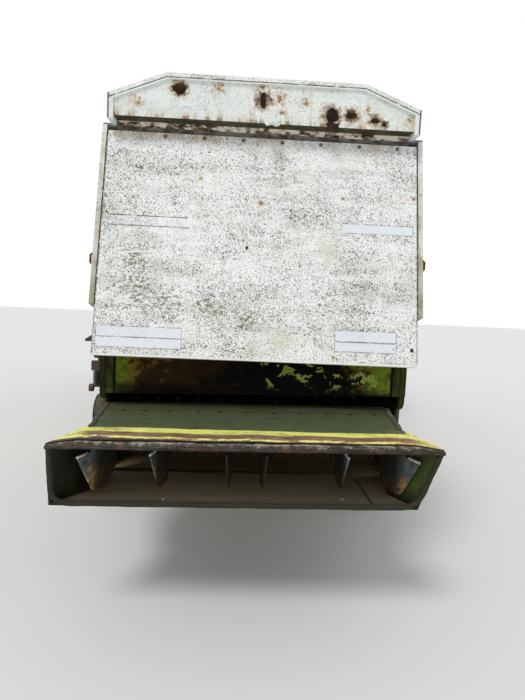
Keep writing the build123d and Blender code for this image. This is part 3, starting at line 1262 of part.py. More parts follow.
def cutter_bar():
    """Knife guard bar with its row of fingers."""
    half = HEADER_HALF - HEADER_SHEET - SEAT
    bar_y = KNIFE_Y - 90
    piece = block(-half, half, bar_y, KNIFE_Y - 20, KNIFE_Z - 8, KNIFE_Z + 12)
    pitch = 2 * half / FINGERS
    fingers = []
    for i in range(FINGERS):
        x = -half + (i + 0.5) * pitch
        fingers.append(upright([(x - 16, KNIFE_Y - 22), (x + 16, KNIFE_Y - 22), (x + 3, KNIFE_Y + 60),
                                (x - 3, KNIFE_Y + 60)],
                               KNIFE_Z - 6, KNIFE_Z + 10))
    return piece + fingers


def flight(start, stop, hand):
    """Screw flight on the auger tube, a closed strip of flat triangles between radial sections."""
    steps = round(abs(stop - start) / FLIGHT_PITCH * FLIGHT_STEPS)
    section = [(AUGER_TUBE - 12, -1), (AUGER_R, -1), (AUGER_R, 1), (AUGER_TUBE - 12, 1)]
    rings = []
    for i in range(steps + 1):
        x, turn = start + (stop - start) * i / steps, radians(hand * i * 360 / FLIGHT_STEPS)
        rings.append([Vector(x + face * FLIGHT_THICK / 2, AUGER_Y + r * sin(turn), AUGER_Z + r * cos(turn))
                      for r, face in section])
    corners = [tuple(rings[0]), tuple(rings[-1])]
    for near, far in zip(rings, rings[1:]):
        for k in range(4):
            a, b, c, d = near[k], near[(k + 1) % 4], far[(k + 1) % 4], far[k]
            corners += [(a, b, c), (a, c, d)]
    return Solid(Shell([Face(Wire.make_polygon(points)) for points in corners]))


def header_auger():
    """Tube with a screw flight from each end towards the feeder, and fingers in between."""
    end = HEADER_HALF - HEADER_SHEET
    auger = shaft(-end + 15, end - 15, AUGER_Y, AUGER_Z, AUGER_TUBE)
    auger += shaft(-HEADER_HALF, HEADER_HALF, AUGER_Y, AUGER_Z, 40)
    for side in (-1, 1):
        auger += flight(side * (end - 40), side * (FEED_HALF - 60), side)
    # retracting fingers in the middle
    for i in range(8):
        turn = Rot(i * 90 + (i // 4) * 45, 0, 0)
        finger = Pos((i - 3.5) * 110, 0, 0) * turn * Pos(0, 0, AUGER_TUBE + 45) * Box(16, 16, 100)
        auger += Pos(0, AUGER_Y, AUGER_Z) * finger
    return auger


def reel_arms():
    """Two arms outside the end walls, pinned at the back."""
    x0, x1 = HEADER_HALF + CLEAR, HEADER_HALF + CLEAR + 30
    arm = across([(ARM_Y - 50, ARM_Z - 45), (ARM_Y - 50, ARM_Z + 45), (REEL_Y, REEL_Z + 50),
                  (REEL_Y + 55, REEL_Z + 30),
                  (REEL_Y + 55, REEL_Z - 30), (REEL_Y, REEL_Z - 50)], x0, x1)
    arm += shaft(HEADER_HALF - HEADER_SHEET, x1, ARM_Y, ARM_Z, ARM_PIN)
    arm -= shaft(x0 - 5, x1 + 5, REEL_Y, REEL_Z, REEL_SHAFT + SEAT)
    tie = block(-x1, x1, ARM_Y - 60, ARM_Y - 30, ARM_Z + 30, ARM_Z + 60)
    for side in both_sides(arm):
        tie += side
    return tie


def reel():
    """Shaft, spiders and tine bars of the reel."""
    wheel = shaft(-HEADER_HALF - CLEAR - 30, HEADER_HALF + CLEAR + 30, 0, 0, REEL_SHAFT)
    stations = (-REEL_HALF + 40, 0, REEL_HALF - 40)
    wheel += [shaft(x - 15, x + 15, 0, 0, 90) for x in stations]
    bar_r = REEL_R - TINE_LENGTH
    # one row: a square bar with its spokes and tines, straight up
    row = Pos(0, 0, bar_r) * Box(2 * REEL_HALF, 44, 44)
    spokes = [block(x - 6, x + 6, -20, 20, 60, bar_r) for x in stations]
    tine = Pos(0, 0, (REEL_R + bar_r) / 2) * Box(10, 10, TINE_LENGTH)
    pitch = 2 * (REEL_HALF - 20) / TINES
    row += spokes + [Pos((i + 0.5 - TINES / 2) * pitch, 0, 0) * tine for i in range(TINES)]
    wheel += [Rot(a * 360 / REEL_BARS, 0, 0) * row for a in range(REEL_BARS)]
    return Pos(0, REEL_Y, REEL_Z) * wheel


PARTS = {
    "threshing_body": threshing_body,
    "axle_carrier": axle_carrier,
    "front_axle": front_axle,
    "rear_axle": rear_axle,
    "engine_block": engine_block,
    "engine_cover": engine_cover,
    "dust_screen": dust_screen,
    "exhaust_stack": exhaust_stack,
    "grain_tank": grain_tank,
    "tank_fill_auger": tank_fill_auger,
    "cab_frame": cab_frame,
    "cab_roof": cab_roof,
    "cab_glass": cab_glass,
    "cab_door": cab_door,
    "cab_door_glass": cab_door_glass,
    "driver_seat": driver_seat,
    "steering_column": steering_column,
    "platform_ladder": platform_ladder,
    "work_lamps": work_lamps,
    "fuel_tank": fuel_tank,
    "elevators": elevators,
    "belt_drives": belt_drives,
    "side_shields": side_shields,
    "straw_walkers": straw_walkers,
    "hood_sides": hood_sides,
    "hood_cap": hood_cap,
    "hood_gable": hood_gable,
    "flap_seal": flap_seal,
    "hood_flap": hood_flap,
    "chopper_housing": chopper_housing,
    "chopper_rotor": chopper_rotor,
    "belt_tensioner": belt_tensioner,
    "spreader_shell": spreader_shell,
    "spreader_vanes": spreader_vanes,
    "spreader_lip": spreader_lip,
    "unload_riser": unload_riser,
    "unload_tube": unload_tube,
    "unload_spout": unload_spout,
    "tyre_front_left": lambda: front_tyre(-1),
    "tyre_front_right": lambda: front_tyre(1),
    "rim_front_left": lambda: front_rim(-1),
    "rim_front_right": lambda: front_rim(1),
    "tyre_rear_left": lambda: rear_tyre(-1),
    "tyre_rear_right": lambda: rear_tyre(1),
    "rim_rear_left": lambda: rear_rim(-1),
    "rim_rear_right": lambda: rear_rim(1),
    "knuckle_left": lambda: knuckle(-1),
    "knuckle_right": lambda: knuckle(1),
    "tie_rod": tie_rod,
    "feeder_house": feeder_house,
    "lift_barrels": lift_barrels,
    "lift_rods": lift_rods,
    "header_trough": header_trough,
    "cutter_bar": cutter_bar,
    "header_auger": header_auger,
    "reel_arms": reel_arms,
    "reel": reel,
}

REAR_END = DUCT_REAR - RIM_THICK
FORWARD_SHIFT = -(REAR_END + DIVIDER_TIP) / 2

if __name__ == "__main__":
    os.makedirs("parts", exist_ok=True)
    for name, make in PARTS.items():
        export_step(Pos(0, FORWARD_SHIFT, 0) * make(), f"parts/{name}.step")
    print("moved forward by", FORWARD_SHIFT)
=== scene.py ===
# A worn combine harvester, seen from behind: finishes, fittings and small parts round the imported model.
import math

import bpy
import numpy as np
from mathutils import Matrix, Vector


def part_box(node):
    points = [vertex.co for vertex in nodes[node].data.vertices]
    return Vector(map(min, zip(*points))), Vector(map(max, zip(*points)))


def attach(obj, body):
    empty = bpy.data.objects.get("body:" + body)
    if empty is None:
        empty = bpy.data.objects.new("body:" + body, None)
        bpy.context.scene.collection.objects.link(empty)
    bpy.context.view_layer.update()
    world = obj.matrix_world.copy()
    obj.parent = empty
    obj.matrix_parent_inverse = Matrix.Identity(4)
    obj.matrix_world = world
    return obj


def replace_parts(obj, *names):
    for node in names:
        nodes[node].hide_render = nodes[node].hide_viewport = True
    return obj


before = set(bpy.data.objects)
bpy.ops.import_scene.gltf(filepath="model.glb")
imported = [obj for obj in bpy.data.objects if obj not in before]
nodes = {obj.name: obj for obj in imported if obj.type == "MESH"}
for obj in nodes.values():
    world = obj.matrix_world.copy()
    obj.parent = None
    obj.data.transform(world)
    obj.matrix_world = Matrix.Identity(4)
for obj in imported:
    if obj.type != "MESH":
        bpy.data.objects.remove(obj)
scene = bpy.context.scene
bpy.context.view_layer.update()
random = np.random.default_rng(7)


def low(node, axis):
    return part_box(node)[0][axis]


def high(node, axis):
    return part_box(node)[1][axis]


def mid(node, axis):
    return (low(node, axis) + high(node, axis)) / 2


# places that the finishes and fittings are measured from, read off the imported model
flapTop = high("flap_seal", 2) - 0.0438  # height of the axis that the flap hangs from
gableFace = low("hood_gable", 1)
ledgeZ = high("hood_sides", 2) + 0.02
lipY = gableFace + 0.095
hoodHalf = high("hood_sides", 0)
mouthY = low("spreader_lip", 1) + 0.030  # the spreader's top plate ends here, under the lip
rear, ahead, right, up = (0, -1, 0), (0, 1, 0), (1, 0, 0), (0, 0, 1)

# the spreader's duct: its front edge, the heights of its top, how far it tips and is pushed from side to side
duct = {"front": mouthY + 0.514, "frontTop": 1.041, "rearTop": high("spreader_lip", 2) - 0.014,
        "sag": 0.016 / 0.912, "sway": -0.028}

print("stage: finishes")


def paint(red, green, blue):
    # a colour written as on screen, 0 to 255, made linear
    levels = np.array([red, green, blue]) / 255
    linear = np.where(levels <= 0.04045, levels / 12.92, ((levels + 0.055) / 1.055) ** 2.4)
    return (*(float(a) for a in linear), 1.0)


class Field:
    # one value over a surface, a socket or a plain number; arithmetic on it adds Math nodes

    def __init__(self, finish, socket):
        self.finish, self.socket = finish, socket

    def math(self, operation, *others, clamp=False):
        node = self.finish.node("ShaderNodeMath", {"operation": operation, "use_clamp": clamp},
                                dict(enumerate((self, *others))))
        return Field(self.finish, node.outputs[0])

    def __add__(self, other):
        return self.math("ADD", other)

    def __sub__(self, other):
        return self.math("SUBTRACT", other)

    def __mul__(self, other):
        return self.math("MULTIPLY", other)

    def __truediv__(self, other):
        return self.math("DIVIDE", other)

    def __pow__(self, other):
        return self.math("POWER", other)

    def __radd__(self, other):
        return Field(self.finish, other) + self

    def __rsub__(self, other):
        return Field(self.finish, other) - self

    def __rmul__(self, other):
        return Field(self.finish, other) * self

    def __abs__(self):
        return self.math("ABSOLUTE")

    def capped(self):
        # kept between 0 and 1
        return self.math("ADD", 0.0, clamp=True)

    def above(self, level, soft):
        # 0 below the level and 1 above it, over a soft edge of that width
        return ((self - level) / soft + 0.5).capped()

    def below(self, level, soft):
        return 1 - self.above(level, soft)

    def within(self, start, stop, soft):
        return self.above(start, soft) * self.below(stop, soft)

    def least(self, other):
        return self.math("MINIMUM", other)

    def most(self, other):
        return self.math("MAXIMUM", other)


class Nodes:
    # a tree of nodes and the one way to put more into it

    def __init__(self, tree):
        self.tree = tree

    def node(self, kind, settings=None, inputs=None):
        node = self.tree.nodes.new(kind)
        for key, value in (settings or {}).items():
            setattr(node, key, value)
        for key, value in (inputs or {}).items():
            self.feed(node.inputs[key], value)
        return node

    def feed(self, socket, value):
        if isinstance(value, Field):
            value = value.socket
        if isinstance(value, bpy.types.NodeSocket):
            self.tree.links.new(value, socket)
        else:
            socket.default_value = value


class Finish(Nodes):
    # one material, the nodes that make it and the colour laid on so far

    def __init__(self, name, roughness=0.6, metallic=0.0):
        self.material = bpy.data.materials.new(name)
        self.material.use_nodes = True
        super().__init__(self.material.node_tree)
        self.shader = self.tree.nodes["Principled BSDF"]
        self.place = self.node("ShaderNodeTexCoord").outputs["Object"]
        self.x, self.y, self.z = self.split(self.place)
        self.set("Roughness", roughness)
        self.set("Metallic", metallic)

    def split(self, vector):
        return [Field(self, socket) for socket in self.node("ShaderNodeSeparateXYZ", inputs={0: vector}).outputs]

    def set(self, name, value):
        self.feed(self.shader.inputs[name], value)
        return self

    def where(self, stretch=(1, 1, 1), shift=(0, 0, 0)):
        return self.node("ShaderNodeMapping", inputs={
            "Vector": self.place, "Location": shift, "Scale": stretch}).outputs[0]

    def noise(self, scale, detail=5, rough=0.7, stretch=(1, 1, 1), shift=(0, 0, 0), warp=0.0):
        node = self.node("ShaderNodeTexNoise", inputs={
            "Vector": self.where(stretch, shift), "Scale": scale, "Detail": detail, "Roughness": rough,
            "Distortion": warp})
        return Field(self, node.outputs["Fac"])

    def cells(self, scale, stretch=(1, 1, 1), shift=(0, 0, 0)):
        node = self.node("ShaderNodeTexVoronoi", inputs={"Vector": self.where(stretch, shift), "Scale": scale})
        return Field(self, node.outputs["Distance"])

    def normal(self):
        return self.split(self.node("ShaderNodeNewGeometry").outputs["Normal"])

    def blend(self, under, over, share):
        # two colours mixed, each a socket or levels for paint()
        under, over = (paint(*colour) if isinstance(colour, tuple) else colour for colour in (under, over))
        return self.node("ShaderNodeMix", {"data_type": "RGBA"}, {0: share, 6: under, 7: over}).outputs[2]

    def coat(self, over, share):
        self.colour = self.blend(self.colour, over, share)

    def done(self, height, distance, strength):
        # the material, with its colour and a bump of that height
        bump = self.node("ShaderNodeBump", inputs={"Height": height, "Distance": distance, "Strength": strength})
        self.set("Base Color", self.colour)
        self.set("Normal", bump.outputs[0])
        return self.material

    def near(self, across, up, spots):
        # 0 at the middle of each spot of (across, up, radius) and 1 at its rim
        least = None
        for a, u, r in spots:
            distance = (((across - a) ** 2 + (up - u) ** 2) ** 0.5) / r
            least = distance if least is None else least.least(distance)
        return least

    def strip(self, across, up, edges, soft=0.004):
        # 1 inside the rectangle of (left, right, bottom, top)
        left, right, bottom, top = edges
        return across.within(left, right, soft) * up.within(bottom, top, soft)


# white paint of the straw hood
hoodWhite = {
    "clean": (255, 255, 252), "cloudy": (233, 236, 232), "fleck": (150, 149, 138), "pit": (52, 47, 38),
    "chip": (104, 86, 62), "rust": (128, 88, 56), "ochre": (188, 160, 110), "grime": (176, 176, 150),
}


def flakedWhite(name, flecks=1.0, rustiness=0.0):
    # white paint gone to salt and pepper: grey flecks and black pits in drifts and level bands, brown chips and
    # rusty spots
    f = Finish(name, roughness=0.62)
    cloud = f.noise(2.4, 5, 0.6, shift=(3, 1, 4))
    patch = f.noise(9, 5, 0.65, shift=(1, 7, 2))
    level = f.noise(8, 4, 0.6, stretch=(0.24, 1, 1.9), shift=(6, 2, 8))
    grain = f.noise(56, shift=(5, 2, 9))
    pepper = f.noise(150, 2, 0.8, shift=(2, 8, 1))
    drift = (cloud - 0.5) * 0.22 + (patch - 0.5) * 0.20 + (level - 0.5) * 0.26
    shade = pepper * 1.25 - 0.125 + (grain - 0.5) * 0.35 + drift
    spread = min(1.0, 0.45 + 0.55 * flecks)
    grey = shade.above(0.555, 0.12)
    pits = shade.above(0.655 + 0.05 * (1 - flecks), 0.05)
    chips = (grain + drift * 0.9).above(0.660, 0.04)
    dull = (cloud * 0.9 + patch * 0.4 + level * 0.5 - 0.55).capped()
    f.colour = f.blend(hoodWhite["clean"], hoodWhite["cloudy"], dull)
    stain = f.noise(5, stretch=(0.7, 1, 1.7), shift=(7, 7, 2)).above(0.57, 0.14)
    f.coat(hoodWhite["grime"], stain * 0.30)
    f.coat(hoodWhite["fleck"], grey * 0.80 * spread)
    f.coat(hoodWhite["pit"], pits * 0.90 * spread)
    f.coat(hoodWhite["chip"], chips * 0.85 * spread)
    spots = f.noise(15, 4, 0.6, shift=(9, 3, 5)) + (patch - 0.5) * 0.3
    f.coat(hoodWhite["ochre"], spots.above(0.715 - rustiness, 0.09) * 0.45)
    f.coat(hoodWhite["rust"], (spots + (grain - 0.5) * 0.4).above(0.760 - rustiness, 0.05) * 0.75)
    return f, grain * 0.5 + pepper * 0.3 - pits * 0.3


flapLook = {
    "lean": math.radians(12.2),
    # metres across and down from the hanging edge: left, right, top and bottom of each faded strip; spots are across,
    # down and radius
    "lightStrips": ((0.427, 0.804, 0.459, 0.506), (-0.812, -0.384, 1.056, 1.106), (-0.812, -0.384, 1.112, 1.160),
                    (0.402, 0.717, 1.031, 1.084), (0.402, 0.717, 1.092, 1.137)),
    "ghostStrip": (-0.80, -0.383, 0.469, 0.523),
    "strip": (233, 239, 243), "outline": (78, 70, 56),
    "rustSpots": ((-0.004, 0.369, 0.015), (0.43, 0.32, 0.008), (0.319, 0.90, 0.010), (0.393, 1.171, 0.009),
                  (-0.326, 0.248, 0.010), (0.81, 0.30, 0.012)),
    "paleSpots": ((0.092, 0.237, 0.022), (0.50, 1.165, 0.030), (0.06, 0.31, 0.03), (0.62, 0.10, 0.05),
                  (-0.27, 0.045, 0.05)),
    "blackSpots": ((-0.069, 0.614, 0.009), (0.154, 0.399, 0.0055), (0.80, 1.119, 0.010), (-0.29, 0.10, 0.005)),
    # flaked groups: brown chips at the lower left, a mossy patch above the lower right strips
    "chipped": ((-0.62, 0.86, 0.13), (-0.50, 0.93, 0.10), (-0.25, 0.93, 0.09), (-0.66, 0.70, 0.07),
                (-0.05, 1.00, 0.06)),
    "mossy": ((0.12, 1.09, 0.07), (-0.02, 1.14, 0.05), (0.36, 0.62, 0.07)),
}


def flapFinish():
    f, height = flakedWhite("flakedWhiteFlap")
    look = flapLook
    down = (flapTop - f.z) / math.cos(look["lean"])
    x = f.x + (f.noise(70, 3, 0.6) - 0.5) * 0.006
    d = down + (f.noise(64, 3, 0.6, shift=(4, 4, 4)) - 0.5) * 0.006
    strips = None
    for edges in look["lightStrips"]:
        inside = f.strip(x, d, edges)
        wider = [edge + step for edge, step in zip(edges, (-0.004, 0.004, -0.004, 0.004))]
        rim = f.strip(x, d, wider, 0.003) - inside
        broken = f.noise(16, 4, 0.75, shift=(edges[0], 0, edges[2])).above(0.46, 0.10)
        f.coat(look["outline"], (rim * broken * 0.8).capped())
        strips = inside if strips is None else strips.most(inside)
    faded = f.noise(105, 3, 0.75, shift=(8, 8, 8)).above(0.60, 0.06)
    worn = f.noise(34, 4, 0.7, shift=(5, 5, 8)).above(0.63, 0.05)
    f.coat(look["strip"], strips * (0.93 - faded * 0.35 - worn * 0.45))
    left, right, top, bottom = look["ghostStrip"]
    lines = (f.strip(x, d, (left, right, top - 0.003, top + 0.003), 0.002)
             + f.strip(x, d, (left, right, bottom - 0.003, bottom + 0.002), 0.002))
    f.coat(look["strip"], f.strip(x, d, (left, right, top, bottom)) * 0.28)
    f.coat(look["outline"], (lines * f.noise(18, 3, 0.6).above(0.4, 0.2) * 0.85).capped())
    rough = (f.noise(60, 4, 0.7) - 0.5) * 1.6
    pale = f.near(x, d, look["paleSpots"]) * 0.7 + (f.noise(58, 4, 0.8, shift=(1, 2, 3)) - 0.5) * 5.0
    f.coat(hoodWhite["ochre"], pale.below(0.15, 0.5) * 0.5)
    spots = f.near(x, d, look["rustSpots"]) + rough
    f.coat(hoodWhite["ochre"], spots.below(1.15, 0.5) * 0.75)
    f.coat(hoodWhite["rust"], spots.below(0.55, 0.3) * 0.9)
    loose = f.noise(30, 5, 0.75, stretch=(0.6, 1, 1.5), shift=(2, 4, 6))
    chipped = f.near(x, d, look["chipped"]) + (loose - 0.5) * 4.0
    scraps = f.noise(64, 4, 0.75, stretch=(0.7, 1, 1.3), shift=(6, 2, 4)).above(0.52, 0.05)
    f.coat((104, 98, 62), chipped.below(0.70, 0.4) * scraps * 0.85)
    mossy = f.near(x, d, look["mossy"]) + (loose - 0.5) * 3.6
    f.coat((206, 202, 168), mossy.below(0.7, 0.9) * 0.5)
    dots = f.near(f.x, down, look["blackSpots"])
    f.coat((24, 22, 18), dots.below(1.0, 0.25))
    # rusty run-off below the hanging edge, a dark line at the rim and a pale lower edge
    edge = d.below(0.03, 0.05) * f.noise(16, stretch=(1, 1, 0.4)).above(0.50, 0.12)
    f.coat(hoodWhite["ochre"], edge * 0.6)
    rim = abs(f.x).above(hoodHalf - 0.036, 0.004)
    f.coat((84, 80, 70), rim * f.noise(40, 3, 0.6).above(0.42, 0.2) * 0.85)
    f.coat((240, 242, 236), d.above(1.196, 0.006) * 0.85)
    # the inside of the tray is dusty and darker
    inner = f.normal()[1].above(0.3, 0.2)
    f.coat((120, 116, 98), inner * 0.7)
    dent = f.noise(1.8, 2, 0.5, shift=(2, 5, 8)) * 3.0
    return f.done(height + dent - strips * 0.15, 0.003, 0.6)


gableLook = {
    # across, height and reach of the rust round each hole
    "holes": ((-0.448, 2.689, 0.050), (-0.016, 2.653, 0.050), (0.346, 2.597, 0.055), (0.446, 2.603, 0.045),
              (0.573, 2.583, 0.036), (0.622, 2.567, 0.026)),
    "stains": ((0.07, 2.668, 0.060), (0.201, 2.65, 0.035), (-0.25, 2.70, 0.05), (-0.66, 2.61, 0.05),
               (-0.03, 2.72, 0.05), (0.76, 2.60, 0.05), (0.53, 2.635, 0.03), (-0.62, 2.70, 0.035), (0.08, 2.60, 0.03)),
    "dark": (74, 56, 44),
}


def gableFinish():
    f, height = flakedWhite("flakedWhiteGable", flecks=0.30, rustiness=0.02)
    rough = f.noise(48, 5, 0.82) - 0.5
    drip = f.noise(26, 5, 0.72, stretch=(1, 1, 0.20))
    wash = f.noise(6, stretch=(1, 1, 0.4), shift=(4, 4, 1))
    f.coat((232, 240, 234), wash.above(0.48, 0.25) * 0.6)
    stains = f.near(f.x, f.z, gableLook["stains"]) + rough * 4.6
    f.coat(hoodWhite["ochre"], stains.below(0.55, 0.6) * 0.7)
    f.coat(hoodWhite["rust"], stains.below(0.08, 0.2) * 0.95)
    holes = f.near(f.x, f.z, gableLook["holes"]) + rough * 3.0
    f.coat(hoodWhite["ochre"], holes.below(0.98, 0.5) * 0.65)
    f.coat(hoodWhite["rust"], holes.below(0.70, 0.12) * 0.95)
    f.coat(gableLook["dark"], holes.below(0.54, 0.10) * 0.9)
    # run-off streaks below the stains, rust along the bottom of the face
    streak = drip.above(0.60, 0.08) * f.z.below(2.66, 0.10)
    f.coat(hoodWhite["ochre"], streak * 0.35)
    foot = f.z.below(ledgeZ + 0.030, 0.040) * drip.above(0.50, 0.12)
    f.coat(hoodWhite["ochre"], foot * 0.5)
    f.coat(hoodWhite["rust"], f.z.below(ledgeZ + 0.014, 0.012) * drip.above(0.56, 0.08) * 0.8)
    # painted shade on the ledge's underside, in dark greens and brown, and a rusty lip
    under = f.z.below(ledgeZ + 0.004, 0.004) * f.y.above(gableFace + 0.003, 0.003) * f.y.below(lipY - 0.010, 0.002)
    green = f.blend((34, 36, 20), (82, 86, 56), f.noise(22).above(0.54, 0.22))
    green = f.blend(green, (84, 56, 34), f.noise(17, shift=(5, 5, 5)).above(0.57, 0.12))
    f.coat(green, under)
    # partly painted light: the lip's white paint is brightened as painted sunlight
    lip = f.y.above(lipY - 0.0095, 0.002)
    worn = f.noise(17, 6, 0.75, stretch=(0.7, 1, 1.6)) + (f.x.below(0.05, 1.2) - 0.5) * 0.05
    rusty = f.blend((250, 246, 226), (126, 88, 50), worn.above(0.50, 0.08))
    rusty = f.blend(rusty, (30, 23, 16), worn.above(0.56, 0.05))
    f.coat(rusty, lip)
    return f.done(height - holes.below(0.8, 0.3) * 0.8, 0.003, 0.8)


capLook = {
    # its outline behind: half width, top of the upright sides, half width of the flat top; then the widths of the white
    # edge and of the dark line inside it
    "half": 0.812, "eave": 2.645, "flatHalf": 0.517, "edge": 0.019, "line": 0.0055,
    "pale": (234, 242, 236), "rim": (44, 33, 22),
}


def capFinish():
    # the cap's rear band shows as a bright white edge over a dark line; below the line it is as pale as the gable, and
    # the underside, in shade, is painted as pale as the gable face: painted light
    f, height = flakedWhite("flakedWhiteCap", flecks=0.30, rustiness=0.01)
    look = capLook
    seam = f.noise(24, 5, 0.75)
    rearward, raised = f.normal()[1].below(-0.5, 0.2), f.normal()[2]
    # painted light: the underside, in shade, is painted as pale as the gable face
    underLit = raised.below(-0.3, 0.2) * f.y.below(gableFace + 0.004, 0.004)
    f.coat(look["pale"], underLit)
    # distance inwards from the outline: from the flat top, and square to the slope from its foot at the eave
    crown = high("hood_cap", 2)
    rise, run = crown - look["eave"], look["half"] - look["flatHalf"]
    fromSide = look["half"] - abs(f.x)
    fromSlope = (fromSide * rise + (look["eave"] - f.z) * run) / math.hypot(rise, run)
    inward = (crown - f.z).least(fromSlope)
    f.coat(look["pale"], rearward * inward.above(look["edge"] + look["line"], 0.002) * 0.7)
    line = inward.within(look["edge"], look["edge"] + look["line"], 0.002)
    f.coat(look["rim"], rearward * line * seam.above(0.40, 0.12) * 0.95)
    rotten = fromSide.below(0.009, 0.004) * seam.above(0.40, 0.08) * f.z.below(look["eave"] + 0.005, 0.01)
    f.coat(look["rim"], rearward * rotten * 0.85)
    # the inside of the cap, seen through the holes, is all rust
    hidden = raised.below(-0.3, 0.2) * f.y.above(gableFace + 0.02, 0.01) * abs(f.x).below(0.76, 0.02)
    f.coat((236, 196, 168), hidden)
    return f.done(height, 0.003, 0.7)


def sideFinish():
    f, height = flakedWhite("flakedWhiteSides", flecks=0.5, rustiness=0.03)
    moss = f.noise(7, stretch=(1, 1, 0.5)).above(0.52, 0.12)
    towardsRear = f.y.below(gableFace + 0.02, 0.25)
    f.coat((196, 198, 180), towardsRear * 0.7)
    f.coat((146, 132, 74), moss * towardsRear * 0.85)
    streak = f.noise(20, stretch=(1, 1, 0.12)).above(0.56, 0.1)
    f.coat(hoodWhite["ochre"], streak * 0.5)
    f.coat((120, 118, 72), f.z.below(1.75, 0.25) * 0.55)
    inner = (f.normal()[0] * f.x).below(-0.3, 0.2)
    f.coat((88, 84, 56), inner * 0.8)
    return f.done(height, 0.003, 0.7)


greenLook = {"fresh": (132, 148, 52), "faded": (166, 174, 88), "dust": (150, 140, 104), "rust": (112, 66, 36),
             "dark": (42, 34, 22)}


def wornGreen(name, rusty=0.0, dusty=0.5):
    # green paint, sun-faded above, dusty below and rusting through in patches
    f = Finish(name, roughness=0.55)
    cloud = f.noise(1.7, 5, 0.6, shift=(4, 2, 1))
    patch = f.noise(6, 6, 0.68, shift=(7, 1, 3))
    grain = f.noise(70)
    f.colour = f.blend(greenLook["fresh"], greenLook["faded"], (cloud * 1.2 - 0.1 + (grain - 0.5) * 0.3).capped())
    settled = (f.normal()[2].above(0.6, 0.6) * 0.5 + f.z.below(1.0, 1.2) * 0.5) * patch.above(0.45, 0.3)
    f.coat(greenLook["dust"], settled * dusty)
    worn = patch + (grain - 0.5) * 0.25
    halo = worn.above(0.665 - rusty, 0.08)
    rust = worn.above(0.70 - rusty, 0.035)
    f.coat((138, 104, 56), halo * 0.55)
    f.coat(greenLook["rust"], rust * 0.9)
    chips = f.noise(38, 4, 0.65, shift=(3, 3, 8)).above(0.69 - rusty * 0.3, 0.03)
    f.coat(greenLook["dark"], chips * 0.6)
    streak = f.noise(13, stretch=(1, 1, 0.1)).above(0.57, 0.16)
    f.coat((104, 92, 52), streak * 0.22)
    return f, grain * 0.4 - rust * 0.7 + patch * 1.5


def plainGreen(name, **how):
    f, height = wornGreen(name, **how)
    return f.done(height, 0.0025, 0.6)


chopperLook = {
    "green": (74, 88, 22), "bright": (124, 146, 34), "amber": (116, 84, 28), "rust": (48, 33, 14),
    "dark": (10, 9, 5), "flake": (186, 200, 110), "low": 1.108, "high": 1.42,
}


def chopperFinish():
    # the rear wall: green at its ends, brown and black where it has rotted, and pale flakes hanging on to the right;
    # all its colours are darkened as painted shade of the flap above it
    f = Finish("rustedGreenWall", roughness=0.8)
    f.set("Specular IOR Level", 0.1)
    look = chopperLook
    big = f.noise(3.4, 6, 0.66, stretch=(1, 1, 1.9), shift=(11, 2, 5), warp=0.4)
    island = f.noise(11, 6, 0.72, stretch=(1, 1, 1.5), shift=(2, 9, 6))
    grain = f.noise(60)
    rise = (f.z - look["low"]) / (look["high"] - look["low"])
    middle = 1 - ((f.x + 0.02) / 0.76) ** 4
    rot = (big - 0.5) * 0.7 + (island - 0.5) * 0.8 + middle * 0.62 - 0.16 - (rise - 0.55) * 0.30
    f.colour = f.blend(look["green"], look["bright"], (grain * 0.4 + island * 0.7).above(0.54, 0.16) * 0.9)
    f.coat(look["amber"], rot.above(0.20, 0.12) * 0.9)
    f.coat(look["rust"], (rot + (grain - 0.5) * 0.3).above(0.29, 0.09))
    black = rot + (grain - 0.5) * 0.3 + f.x.above(0.02, 0.3) * 0.20 - f.x.below(-0.25, 0.3) * 0.12
    f.coat(look["dark"], black.above(0.44, 0.14))
    # the paint that is left on the right: ragged lime blobs with pale rims
    flakes = f.noise(9, 5, 0.68, stretch=(1, 1, 1.6), shift=(1, 1, 4), warp=0.5) + (grain - 0.5) * 0.10
    spread = f.x.within(0.04, 0.80, 0.12) * rise.within(0.16, 0.80, 0.2)
    f.coat(look["flake"], flakes.above(0.578, 0.012) * spread * 0.85)
    f.coat(look["bright"], flakes.above(0.606, 0.02) * spread * 0.9)
    # darker along the wall's bottom edge
    lowDark = f.z.below(look["low"] + 0.040, 0.04) * f.noise(15, 4, 0.7).above(0.34, 0.2)
    f.coat(look["dark"], lowDark * 0.9)
    post = abs(f.x).above(hoodHalf - 0.106, 0.004) * f.y.below(duct["front"], 0.02)
    edge = abs(f.x).within(hoodHalf - 0.108, hoodHalf - 0.098, 0.004)
    lines = abs(f.x).within(hoodHalf - 0.062, hoodHalf - 0.052, 0.004)
    postColour = f.blend((64, 68, 24), (30, 26, 14), f.noise(20, stretch=(1, 1, 0.3)).above(0.5, 0.2))
    f.coat(postColour, post)
    seams = (edge + lines * 0.6).capped() * f.y.below(duct["front"], 0.02)
    f.coat(look["dark"], seams)
    # the pan and the plates' lower ends are painted dark
    foot = f.z.below(1.06, 0.04) * abs(f.x).below(hoodHalf - 0.035, 0.004)
    f.coat((40, 34, 24), foot)
    # painted light: the pan's inner face, deep in the duct, is painted paler where little light reaches
    inward = (f.normal()[2] - f.normal()[1]).above(0.25, 0.3)
    f.coat((150, 134, 100), inward * foot * f.z.below(0.92, 0.04))
    # painted shade: the pan's rear edge, which catches light through the gap, is painted near black
    edged = f.y.below(duct["front"] + 0.098, 0.006) * f.z.below(0.80, 0.02) * foot
    f.coat((18, 15, 10), edged)
    # the plates that aren't seen from behind are dusty green
    front = f.y.above(duct["front"] + 0.03, 0.03) * abs(f.x).above(hoodHalf - 0.04, 0.004)
    f.coat(f.blend((96, 104, 52), (88, 66, 40), island.above(0.52, 0.12)), front)
    f.set("Roughness", rot.above(0.3, 0.2) * 0.2 + 0.65)
    return f.done(grain * 0.5 + island - rot.above(0.4, 0.05) * 0.4, 0.003, 0.8)


